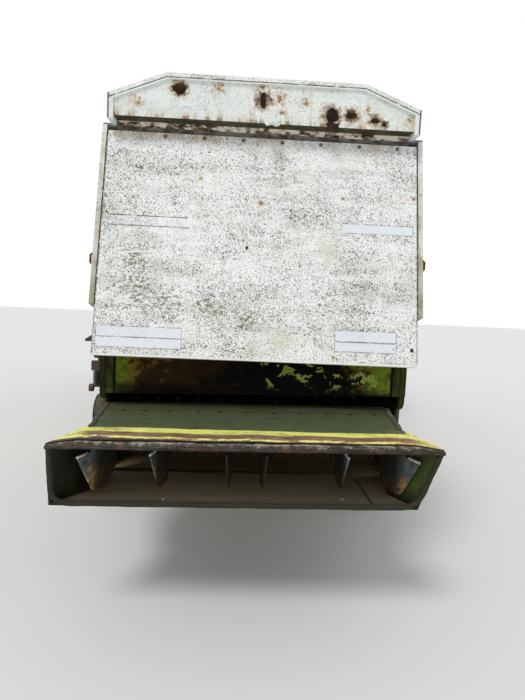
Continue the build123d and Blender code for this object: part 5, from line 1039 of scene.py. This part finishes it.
leftTop, leftLow, leftRise = mouthEdge(-1)
rightTop, rightLow, rightRise = mouthEdge(1)
along = unit(rightLow - leftLow) * hem["corner"]
flat = np.concatenate([
    joined([leftTop, leftLow + leftRise], 30)[:-1], rounded(leftLow + leftRise, leftLow, leftLow + along),
    joined([leftLow + along, rightLow - along], 90)[1:-1],
    rounded(rightLow - along, rightLow, rightLow + rightRise), joined([rightLow + rightRise, rightTop], 30)[1:]])
ripple = sum(np.sin(np.arange(len(flat)) * pace) * size for pace, size in hem["ripples"])
hemY = mouthY + (duct["rearTop"] - flat[:, 1]) * lipLook["lean"] + hem["ahead"] + ripple
swept("mouthHem", at(flat[:, 0], hemY, flat[:, 1]), circle(hem["radius"], 10, hem["flat"]), finishes["spreader_lip"],
      "spreader", lift=(0, 1, lipLook["lean"]))

# beads along the notched tops of the vanes, pale as a painted highlight of their sunlit edges, and near black on the
# middle pair as painted shade: x at the rear end, distance ahead of the mouth and turn in degrees
bead = {"vanes": ((-0.781, 0.040, -20), (-0.459, 0.100, -12), (-0.098, 0.100, -5), (0.098, 0.100, 5),
                  (0.490, 0.100, 3), (0.812, 0.040, 22)), "drop": 0.098, "length": 0.078, "radius": 0.0062}
x, fromMouth, turns = np.array(bead["vanes"]).T
turns = np.radians(turns)
aims = at(-np.sin(turns), np.cos(turns), 0.05)
starts = at(x + duct["sway"], mouthY + fromMouth, duct["rearTop"] + duct["sag"] * x - bead["drop"])
path = starts[:, None] + aims[:, None] * (np.linspace(0.002, 1, 6) * bead["length"])[None, :, None]
outer = np.abs(x) > 0.3
swept("vaneBeads", path[outer], circle(bead["radius"]), vaneHighlight, "spreader")
swept("vaneBeadsMiddle", path[~outer], circle(bead["radius"]), knifeSteel, "spreader")

# the spring round the belt tensioner's rod
spring = {"x": low("belt_tensioner", 0) + 0.038, "foot": low("belt_tensioner", 2) + 0.044, "length": 0.070,
          "radius": 0.0175, "wire": 0.003, "turns": 8}
share = np.linspace(0, 1, 24 * spring["turns"])
angle = share * spring["turns"] * 2 * np.pi
helix = at(spring["x"] + spring["radius"] * np.cos(angle), mid("belt_tensioner", 1) + spring["radius"] * np.sin(angle),
           spring["foot"] + spring["length"] * share)
swept("tensionerSpring", helix, circle(spring["wire"], 7), darkSteel)

print("stage: wheels")

# profiles are radius and height; a hub cap's radii are shares of its own
wheelLook = {
    "front": {"nuts": 10, "circle": 0.168, "face": 0.056, "cap": 0.065, "capRadius": 0.092, "valve": 0.335,
              "size": 0.013},
    "rear": {"nuts": 6, "circle": 0.104, "face": 0.036, "cap": 0.045, "capRadius": 0.056, "valve": 0.155,
             "size": 0.010},
}
capProfile = np.array([(1, -0.002), (1, 0.012), (0.93, 0.020), (0.6, 0.030), (0.25, 0.034)])
valveProfile = [(0.009, -0.004), (0.009, 0.012), (0.005, 0.014), (0.0045, 0.040), (0.003, 0.044)]
for end, look in wheelLook.items():
    for side, word in flanks:
        wheel, rim, outwards = "wheel_" + end + "_" + word, "rim_" + end + "_" + word, (side, 0, 0)
        middle = np.array([mid(rim, axis) for axis in range(3)])
        turns = row(0, 2 * np.pi / look["nuts"], look["nuts"]) + 0.2
        face = middle + np.array([side * look["face"], 0, 0])
        bolts(end + "Nuts_" + word, face + at(0, np.cos(turns), np.sin(turns)) * look["circle"], outwards, look["size"],
              look["size"] * 1.3, wheel, darkSteel)
        spun(end + "HubCap_" + word, capProfile * [look["capRadius"], 1], middle + np.array([side * look["cap"], 0, 0]),
             outwards, rimRed, 28, wheel)
        valveFoot = face + look["valve"] * np.array([0, 0.8, 0.6])
        spun(end + "Valve_" + word, valveProfile, valveFoot, outwards, rubber, 10, wheel)

print("stage: cab, lamps and mirrors")

cab = {"rear": low("cab_frame", 1), "half": 0.75, "sill": 2.75, "top": 3.55, "quarterTop": 3.50, "gap": 0.008,
       "floor": 2.21, "depth": 1.56, "lean": 0.08 / 1.41, "screenZ": 2.94, "gasket": 0.008, "corner": 0.05}
screenUp = unit(np.array([0, cab["lean"], 1.0]))


def screenY(z):
    # the windscreen's plane leans forward in proportion to height
    return cab["rear"] + cab["depth"] + cab["lean"] * (z - cab["floor"])


# middle, direction across, direction up, width, height and body of each window's gasket
windowZ, windowTall = (cab["sill"] + cab["top"]) / 2, cab["top"] - cab["sill"] - cab["gap"]
quarterZ, quarterTall = (cab["sill"] + cab["quarterTop"]) / 2, cab["quarterTop"] - cab["sill"] - cab["gap"]
doorWide, doorTall = (high("cab_door_glass", axis) - low("cab_door_glass", axis) - 0.006 for axis in (1, 2))
gaskets = {
    "rearWindowGasket": ((0, cab["rear"] + 0.014, windowZ), right, up, 1.352, windowTall, "chassis"),
    "sideWindowGasket": ((cab["half"] - 0.016, cab["rear"] + 0.805, windowZ), ahead, up, 1.322, windowTall, "chassis"),
    "quarterWindowGasket": ((0.016 - cab["half"], cab["rear"] + 1.290, quarterZ), ahead, up, 0.352, quarterTall,
                            "chassis"),
    "windscreenGasket": ((0, screenY(cab["screenZ"]) - 0.012, cab["screenZ"]), right, screenUp, 1.352, 1.212,
                         "chassis"),
    "doorWindowGasket": ((0.011 - cab["half"], mid("cab_door_glass", 1), mid("cab_door_glass", 2)), ahead, up,
                         doorWide, doorTall, "cab_door"),
}
for name, (middle, across, upwards, width, height, body) in gaskets.items():
    swept(name, loop(middle, across, upwards, width, height, cab["corner"]), circle(cab["gasket"]), rubber, body,
          lift=np.cross(across, upwards), hoop=True)

lens = Finish("lampLens", roughness=0.15).set("Base Color", paint(214, 216, 208)).material
mirrorGlass = Finish("mirrorGlass", roughness=0.12, metallic=0.9).set("Base Color", paint(176, 182, 186)).material
lamps = {"x": (-0.600, -0.330, 0.330, 0.600), "above": 0.0175, "sides": 28,
         "bezel": [(0.050, -0.002), (0.052, 0.008), (0.049, 0.013), (0.044, 0.012), (0.043, 0.004)],
         "lens": [(0.0435, 0.002), (0.041, 0.007), (0.028, 0.011), (0.010, 0.0125)]}
lampSpots = at(lamps["x"], high("work_lamps", 1), mid("work_lamps", 2) + lamps["above"])
spun("lampBezels", lamps["bezel"], lampSpots, ahead, galvanised, lamps["sides"], turn=0.0)
spun("lampLenses", lamps["lens"], lampSpots, ahead, lens, lamps["sides"], turn=0.0)

mirror = {"x": 1.04, "y": high("cab_frame", 1) - 0.0255, "z": 3.0404, "size": (0.156, 0.296), "corner": 0.022,
          "rim": 0.006, "thick": 0.004}
for side, word in flanks:
    pane = loop((side * mirror["x"], mirror["y"], mirror["z"]), right, up, *mirror["size"], mirror["corner"])
    swept("mirrorRim_" + word, pane, circle(mirror["rim"]), rubber, lift=ahead, hoop=True)
    behind = pane + (pane.mean(0) - pane) * 0.04 - np.array([0, mirror["thick"], 0])
    skin("mirrorGlass_" + word, [pane, behind], mirrorGlass, smooth=False)

wiper = {"x": 0.10, "z": 3.52, "over": 0.006, "arm": 0.46, "blade": 0.27, "armRadius": 0.006, "bladeRadius": 0.007,
         "root": (-0.02, 0.016, -0.05), "swing": (-0.20, 0.010, 0)}
pivot = np.array([wiper["x"], screenY(wiper["z"]) + wiper["over"], wiper["z"]])
sweep = pivot - screenUp * wiper["arm"] + wiper["swing"]
bladeHalf = screenUp * wiper["blade"]
swept("wiperArm", joined([pivot, pivot + wiper["root"], sweep], 6), circle(wiper["armRadius"]), blackPaint)
swept("wiperBlade", joined([sweep - bladeHalf, sweep + bladeHalf], 8), circle(wiper["bladeRadius"], 6, 1.5), rubber,
      lift=ahead)

print("stage: body panels")

# a rib's section is half an ellipse, (half * cos a, height * sin a - sink)
rib = {"half": 0.017, "height": 0.009, "sink": 0.002}
ribTurn = np.linspace(np.pi, 0, 9)
ribProfile = np.stack([np.cos(ribTurn) * rib["half"], np.sin(ribTurn) * rib["height"] - rib["sink"]], -1)


def ribs(name, starts, run, outwards, material):
    # pressed half-round ribs of one run, tapering into the sheet at both ends; their backs lie flat under the sheet
    starts = np.asarray(starts, float)
    share = np.array([0, 0.012, 0.03, 0.2, 0.4, 0.6, 0.8, 0.97, 0.988, 1])
    fullness = np.array([0.15, 0.65, 1, 1, 1, 1, 1, 1, 0.65, 0.15])[None, :, None, None]
    run = np.broadcast_to(np.asarray(run, float), starts.shape)
    path = starts[:, None] + run[:, None] * share[:, None]
    top = unit(np.broadcast_to(np.asarray(outwards, float), starts.shape))
    side = np.cross(unit(run), top)
    section = ribProfile[:, :1] * side[:, None, None] + ribProfile[:, 1:] * top[:, None, None]
    rings = path[:, :, None] + section * fullness
    back = rings[:, :, ::-1] - top[:, None, None] * (np.maximum(ribProfile[::-1, 1:], 0)[None, None] * fullness + 0.001)
    return skin(name, np.concatenate([rings, back[:, :, 1:-1]], 2), material)


shield = {"x": 1.012, "low": 1.25, "top": 2.05, "rear": low("side_shields", 1) + 1.35, "front": high("side_shields", 1),
          "seam": -0.85, "ribs": (1.38, 1.56, 1.74, 1.92), "bolt": (0.010, 0.009), "edge": 0.05, "latchZ": 0.065}
latchProfile = [(0.034, -0.001), (0.034, 0.004), (0.022, 0.006), (0.020, 0.014), (0.012, 0.016)]
lowZ, topZ = shield["low"] + shield["edge"], shield["top"] - shield["edge"]
for side, word in flanks:
    x, outwards = side * shield["x"], (side, 0, 0)
    ribs("shieldRibs_" + word, at(x, shield["rear"] + 0.12, shield["ribs"]),
         (0, shield["front"] - shield["rear"] - 0.42, 0), outwards, finishes["side_shields"])
    spotY = [shield["rear"] + shield["edge"]] * 2 + [shield["front"] - 0.06, shield["front"] - 0.22]
    bolts("shieldBolts_" + word, at(x, spotY + [shield["seam"]] * 2, [lowZ, topZ] * 3), outwards, *shield["bolt"])
    for k, y in enumerate((shield["rear"] + 0.45, shield["front"] - 0.55)):
        spot = (x, y, shield["low"] + shield["latchZ"])
        spun("shieldLatch_" + word + str(k), latchProfile, spot, outwards, blackPaint, 20)

tank = {"half": high("grain_tank", 0), "top": high("grain_tank", 2), "rear": low("grain_tank", 1),
        "front": high("grain_tank", 1), "rim": 0.019, "over": 0.012, "corner": 0.03, "ribLow": 2.62, "ribTop": 3.27,
        "ribInset": 0.22, "sideRibs": 6, "ribTall": 0.63, "rearRibs": 0.24, "deckZ": 2.98, "skirtZ": 2.60,
        "deckHalf": 0.75}
rimPath = loop((0, mid("grain_tank", 1), tank["top"] - 0.002), right, ahead, 2 * tank["half"] + tank["over"],
               tank["front"] - tank["rear"] + tank["over"], tank["corner"])
swept("tankRim", rimPath, circle(tank["rim"], 10), green, hoop=True)
ribY = np.linspace(tank["rear"] + tank["ribInset"], tank["front"] - tank["ribInset"], tank["sideRibs"])
for side, word in flanks:
    feet = at(side * tank["half"], ribY, tank["ribLow"])
    ribs("tankRibs_" + word, feet, (0, 0, tank["ribTall"]), (side, 0, 0), green)
ribX = row(-4 * tank["rearRibs"], tank["rearRibs"], 9)
starts = at(ribX, tank["rear"], np.where(np.abs(ribX) < tank["deckHalf"], tank["deckZ"], tank["skirtZ"]))
ribs("tankRibsRear", starts, at(0, 0, tank["ribTop"] - starts[:, 2]), rear, green)

# the engine cover: louvre hoods, whose fronts curve out by a quarter sine, two pull handles, and pressed ribs
cover = {"half": high("engine_cover", 0), "rear": low("engine_cover", 1), "front": high("engine_cover", 1),
         "louvres": (2.30, 0.065, 6), "reach": 0.020, "fall": 0.036, "inset": 0.20, "handles": (-0.42, 0.42),
         "handleHalf": 0.055, "handleOut": 0.030, "handleZ": 2.36, "ribs": (2.50, 2.62, 2.74), "ribHalf": 0.55}
turns = np.linspace(0, 1, 7)
along = np.linspace(cover["rear"] + cover["inset"], cover["front"] - cover["inset"], 26)
taper = np.clip(np.minimum(along - along[0], along[-1] - along) / 0.03, 0.06, 1)[:, None] ** 0.6
base = row(*cover["louvres"])[:, None, None]
grid = at(-cover["half"] - cover["reach"] * np.sin(turns * np.pi / 2) * taper, along[:, None],
          base + cover["fall"] * (1 - turns ** 1.6))
skin("louvreHoods", slab(grid, np.array([0.0015, 0, -0.0015])), green)
for k, x in enumerate(cover["handles"]):
    handleX = x + cover["handleHalf"] * np.array([-1, -1, 1, 1])
    handleY = cover["rear"] + np.array([0.002, -cover["handleOut"], -cover["handleOut"], 0.002])
    swept("coverHandle" + str(k), joined(at(handleX, handleY, cover["handleZ"]), 4), circle(0.007), blackPaint)
ribs("coverRibs", at(-cover["ribHalf"], cover["rear"], cover["ribs"]), (2 * cover["ribHalf"], 0, 0), rear, green)

# exhaust: clamps round the silencer and a hinged rain cap
stack = {"x": mid("exhaust_stack", 0), "y": mid("exhaust_stack", 1), "top": high("exhaust_stack", 2),
         "bands": (0.545, 0.215), "radius": 0.087, "bandSection": (0.004, 0.011), "capTilt": (0, -0.42, 1),
         "capAhead": 0.012, "capAbove": 0.018}
ringTurn = row(0, 2 * np.pi / 36, 36)
path = at(stack["x"] + stack["radius"] * np.cos(ringTurn), stack["y"] + stack["radius"] * np.sin(ringTurn),
          stack["top"] - np.array(stack["bands"])[:, None])
swept("silencerBands", path, np.array([(-1, -1), (1, -1), (1, 1), (-1, 1)]) * stack["bandSection"], darkSteel,
      hoop=True, smooth=False)
spun("rainCap", [(0.046, -0.002), (0.047, 0.001), (0.030, 0.006), (0.006, 0.009)],
     (stack["x"], stack["y"] + stack["capAhead"], stack["top"] + stack["capAbove"]), stack["capTilt"], rustOnly, 24)

# elevator: bolted flanges, an inspection door and its two knobs
elevator = {"x": high("elevators", 0), "rear": -0.465, "front": -0.215, "edge": 0.018, "bolts": (0.80, 3.18, 13),
            "bolt": (0.007, 0.006), "doorZ": 1.62, "door": (0.15, 0.34, 0.03), "knobs": (1.50, 1.74)}
elevatorY = (elevator["rear"] + elevator["front"]) / 2
edges = np.array([elevator["rear"] + elevator["edge"], elevator["front"] - elevator["edge"]])[:, None]
bolts("elevatorBolts", at(elevator["x"], edges, np.linspace(*elevator["bolts"])), right, *elevator["bolt"])
door = loop((elevator["x"], elevatorY, elevator["doorZ"]), ahead, up, *elevator["door"])
skin("elevatorDoor", [door - [0.002, 0, 0], door + [0.004, 0, 0], door + (door.mean(0) - door) * 0.05 + [0.006, 0, 0]],
     green, smooth=False)
spun("elevatorKnobs", [(0.016, 0), (0.018, 0.010), (0.014, 0.020), (0.006, 0.022)],
     at(elevator["x"] + 0.006, elevatorY, elevator["knobs"]), right, blackPaint, 16)

print("stage: header")

# knife sections, thin bevelled triangles along the guard bar, and bolts (radius, rise) of the trough and the dividers
knife = {"pitch": 0.0762, "count": 57, "half": 0.035, "tip": 0.007, "reach": 0.062, "thick": 0.003, "back": 0.088,
         "rivetX": (-0.018, 0.018), "rivetY": 0.010}
header = {"troughBolts": (-2.05, 2.05, 15), "troughBoltZ": 1.105, "bolt": (0.011, 0.010), "dividerX": 2.25,
          "dividerBolts": ((3.52, 0.98), (3.75, 0.98), (3.60, 0.42), (3.95, 0.36), (4.25, 0.32))}
knifeX = (np.arange(knife["count"]) - (knife["count"] - 1) / 2) * knife["pitch"]
knifeY, knifeZ = high("cutter_bar", 1) - knife["back"], high("cutter_bar", 2)
square = np.array([(-1, 0), (1, 0), (1, 1), (-1, 1)])
outline = at(square[:, 0] * np.array([[knife["half"]], [knife["tip"]]]), np.array([[0], [knife["reach"]]]),
             square[:, 1] * np.array([[knife["thick"]], [knife["thick"] * 0.5]]))
skin("knifeSections", outline[None] + at(knifeX, knifeY, knifeZ)[:, None, None], polished, "feeder", False)
rivetSpots = at(knifeX + np.array(knife["rivetX"])[:, None], knifeY + knife["rivetY"], knifeZ + 0.002)
spun("knifeRivets", [(0.004, 0), (0.0035, 0.0015), (0.001, 0.0022)], rivetSpots, up, darkSteel, 6, "feeder")
bolts("troughBolts", at(np.linspace(*header["troughBolts"]), low("header_trough", 1), header["troughBoltZ"]), rear,
      *header["bolt"], "feeder")
for side, word in flanks:
    bolts("dividerBolts_" + word, [(side * header["dividerX"], y, z) for y, z in header["dividerBolts"]], (side, 0, 0),
          *header["bolt"], "feeder")

print("stage: driver's seat")

seat = {"half": 0.235, "rear": 1.575, "front": 2.065, "foot": 2.475, "top": 2.592, "channels": (-0.118, 0.0, 0.118),
        "groove": 0.007, "grooveWidth": 0.010, "crossWidth": 0.018, "pull": 0.010, "crown": 0.10, "stations": 54,
        "round": 72, "backStart": (0, 1.622, 2.600), "backLong": 0.485, "backHalf": 0.94,
        "backDepth": 0.046, "piping": 0.0045}
stuffing = {"voxel": 0.008, "pressure": 4.0, "frames": 20, "cap": 0.007, "seam": 0.008}


def places(mesh):
    spots = np.empty(len(mesh.vertices) * 3)
    mesh.vertices.foreach_get("co", spots)
    return spots.reshape(-1, 3)


def stuff(piece, middle, top):
    # a remeshed copy of the form is blown up as cloth while its seam is held; no point moves further than the cap
    finer = piece.modifiers.new("finer", "REMESH")
    finer.mode, finer.voxel_size, finer.use_smooth_shade = "VOXEL", stuffing["voxel"], True
    piece.data = bpy.data.meshes.new_from_object(piece.evaluated_get(bpy.context.evaluated_depsgraph_get()))
    piece.modifiers.remove(finer)
    before = places(piece.data)
    held = piece.vertex_groups.new(name="seam")
    held.add(np.flatnonzero(np.abs((before - middle) @ top) < stuffing["seam"]).tolist(), 1.0, "REPLACE")
    blown = piece.modifiers.new("blown", "CLOTH")
    blown.settings.use_pressure, blown.settings.uniform_pressure_force = True, stuffing["pressure"]
    blown.settings.effector_weights.gravity = 0
    blown.settings.vertex_group_mass = "seam"
    for moment in range(1, stuffing["frames"] + 1):
        scene.frame_set(moment)
    moved = places(piece.evaluated_get(bpy.context.evaluated_depsgraph_get()).to_mesh()) - before
    piece.modifiers.remove(blown)
    piece.vertex_groups.remove(held)
    scene.frame_set(1)
    reach = np.linalg.norm(moved, axis=1, keepdims=True)
    print("  cushion", piece.name, "points", len(before), "moved, most mm", round(float(reach.max()) * 1000, 1))
    moved *= np.minimum(1, stuffing["cap"] / np.maximum(reach, 1e-9))
    piece.data.vertices.foreach_set("co", (before + moved).ravel())
    piece.data.update()


def cushion(name, start, stop, halfWidth, halfDepth, top):
    # a stuffed form along a line: each ring is a superellipse |a|^3 + |b|^3 = 1, full in the middle and rounded off
    # at both ends by (1 - |s|^7)^(1/3); its sides pull in between the corners; channels are sewn in at the end, each
    # pressing the top down by groove * exp(-(distance / width)^2)
    s = np.linspace(-1, 1, seat["stations"])
    s = np.sin(s * np.pi / 2) * 0.35 + s * 0.65
    fullness = np.clip(1 - np.abs(s) ** 7, 0, 1) ** (1 / 3)
    start, stop, side, top = (np.asarray(v, float) for v in (start, stop, right, top))
    spine = start + (stop - start) * ((s + 1) / 2)[:, None]
    angle = row(0, 2 * np.pi / seat["round"], seat["round"])
    a, b = squared(angle, 2 / 3.2)[0], squared(angle, 2 / 3.0)[1]
    width = (halfWidth - seat["pull"] * np.cos(s * np.pi / 2)) * (0.80 + 0.20 * fullness)
    across = width[:, None] * a[None]
    swell = 1 + seat["crown"] * (1 - (across / halfWidth) ** 2) * np.clip(b, 0, 1)[None]
    depth = halfDepth * fullness[:, None] * swell
    rings = spine[:, None] + across[..., None] * side + (depth * b[None])[..., None] * top
    piece = skin(name, rings, finishes["driver_seat"])
    middle = (start + stop) / 2
    stuff(piece, middle, top)
    spots = places(piece.data)
    away, aim = spots - middle, stop - start
    groove = sum(np.exp(-((away @ side - x) / seat["grooveWidth"]) ** 2) for x in seat["channels"])
    groove += np.exp(-(away @ aim / (aim @ aim) / seat["crossWidth"]) ** 2) * 0.8
    pressed = groove * seat["groove"] * np.clip(away @ top / halfDepth, 0, 1)
    piece.data.vertices.foreach_set("co", (spots - pressed[:, None] * top).ravel())
    piece.data.update()
    rounder = piece.modifiers.new("rounder", "SUBSURF")
    rounder.levels = rounder.render_levels = 1
    return piece


seatMiddle, seatDepth = (seat["foot"] + seat["top"]) / 2, (seat["top"] - seat["foot"]) / 2
seatAim, backAim = unit(np.array([0, 1, 0.028])), unit(np.array([0, -0.115, 1.0]))
backOut, backStart = np.array([0, backAim[2], -backAim[1]]), np.array(seat["backStart"])
base = cushion("seatCushion", (0, seat["rear"], seatMiddle - 0.008), (0, seat["front"], seatMiddle + 0.006),
               seat["half"], seatDepth * 0.80, up)
back = cushion("seatBack", backStart, backStart + backAim * seat["backLong"], seat["half"] * seat["backHalf"],
               seat["backDepth"], backOut)
seatSeam = loop((0, (seat["rear"] + seat["front"]) / 2, seatMiddle), right, seatAim, 2 * seat["half"] - 0.012,
                seat["front"] - seat["rear"] - 0.010, 0.06, 7)
backSeam = loop(backStart + backAim * seat["backLong"] / 2, right, backAim, 2 * seat["half"] * seat["backHalf"] - 0.018,
                seat["backLong"] - 0.007, 0.06, 7)
swept("seatPiping", seatSeam, circle(seat["piping"]), rubber, hoop=True)
swept("backPiping", backSeam, circle(seat["piping"]), rubber, lift=backOut, hoop=True)

# bellows under the cushion, a rounded square whose half width ripples with height; below it a pan, and two hinges
stand = {"y": 1.795, "low": 2.212, "high": 2.455, "half": 0.165, "fold": 0.018, "folds": 6,
         "pan": ((0.96, 2.452), (1.0, 2.456), (1.0, 2.474), (0.96, 2.478)), "panY": 1.81, "panHalf": (0.225, 0.215),
         "hinge": ((0.232, 1.60, 2.465), (0.246, 1.585, 2.52), (0.240, 1.560, 2.66), (0.205, 1.552, 2.72))}
squareX, squareY = squared(row(0, 2 * np.pi / 40, 40), 0.5)
z = np.linspace(stand["low"], stand["high"], 49)[:, None]
ripple = np.abs(np.sin((z - stand["low"]) / (stand["high"] - stand["low"]) * np.pi * stand["folds"]))
half = stand["half"] + stand["fold"] * ripple
bellows = skin("seatBellows", at(half * squareX, stand["y"] + 0.9 * half * squareY, z), rubber)
wide, panZ = np.array(stand["pan"]).T[..., None]
panHalfX, panHalfY = stand["panHalf"]
seatPan = skin("seatPan", at(wide * panHalfX * squareX, stand["panY"] + wide * panHalfY * squareY, panZ), blackPaint,
               smooth=False)
hinge = joined(stand["hinge"], 5)
swept("seatHingeRight", hinge, circle(0.010), blackPaint)
swept("seatHingeLeft", hinge * np.array([-1, 1, 1]), circle(0.010), blackPaint)
for piece in (base, back, bellows, seatPan):
    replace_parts(piece, "driver_seat")

print("stage: camera and light")

# the camera: metres left of the middle, behind the flap and up, then degrees to the right, down and rolled; its focal
# length is a share of the sensor's width
view = {"left": -0.0674, "behind": 2.6511, "height": 1.6, "turn": 2.13, "down": 4.889, "roll": 2.5386,
        "focal": 526 / 525, "sensor": 36}
camera = bpy.data.cameras.new("camera")
camera.sensor_fit = "HORIZONTAL"
camera.sensor_width = view["sensor"]
camera.lens = view["sensor"] * view["focal"]
cameraObject = bpy.data.objects.new("camera", camera)
scene.collection.objects.link(cameraObject)
turn, down, roll = (math.radians(view[key]) for key in ("turn", "down", "roll"))
aim = Vector((math.sin(turn) * math.cos(down), math.cos(turn) * math.cos(down), -math.sin(down)))
level = Vector((math.cos(turn), -math.sin(turn), 0))
above = level.cross(aim)
level, above = math.cos(roll) * level + math.sin(roll) * above, math.cos(roll) * above - math.sin(roll) * level
matrix = Matrix((level, above, -aim)).transposed().to_4x4()
matrix.translation = Vector((view["left"], low("hood_flap", 1) - view["behind"], view["height"]))
cameraObject.matrix_world = matrix
scene.camera = cameraObject

floorLook = {"half": 60.0, "colour": (236, 236, 234)}
floorMesh = bpy.data.meshes.new("floor")
half = floorLook["half"]
floorMesh.from_pydata([(-half, -half, 0), (half, -half, 0), (half, half, 0), (-half, half, 0)], [], [(0, 1, 2, 3)])
floor = bpy.data.objects.new("floor", floorMesh)
scene.collection.objects.link(floor)
floorMesh.materials.append(Finish("paleFloor", roughness=0.9).set("Base Color", paint(*floorLook["colour"])).material)

# soft light from all round; the camera, reflections and glass see plain white instead
light = {"soft": (0.95, 0.97, 1.0), "softStrength": 0.62, "sunTowards": (0.35, 0.62, -0.95), "sun": 1.25,
         "sunSpread": 18}
world = bpy.data.worlds.new("studio")
scene.world = world
world.use_nodes = True
world.node_tree.nodes.clear()
sky = Nodes(world.node_tree)
rays = sky.node("ShaderNodeLightPath").outputs
seen = rays["Is Camera Ray"]
for kind in ("Is Glossy Ray", "Is Transmission Ray"):
    seen = sky.node("ShaderNodeMath", {"operation": "MAXIMUM"}, {0: seen, 1: rays[kind]}).outputs[0]
soft, white = (sky.node("ShaderNodeBackground", inputs={"Color": (*colour, 1.0), "Strength": strength}).outputs[0]
               for colour, strength in ((light["soft"], light["softStrength"]), ((1, 1, 1), 1.0)))
mixed = sky.node("ShaderNodeMixShader", inputs={0: seen, 1: soft, 2: white}).outputs[0]
sky.node("ShaderNodeOutputWorld", inputs={"Surface": mixed})

sun = bpy.data.lights.new("keyLight", "SUN")
sun.energy = light["sun"]
sun.angle = math.radians(light["sunSpread"])
sunObject = bpy.data.objects.new("keyLight", sun)
scene.collection.objects.link(sunObject)
sunObject.rotation_euler = Vector(light["sunTowards"]).to_track_quat("-Z", "Y").to_euler()
scene.view_settings.view_transform = "Standard"
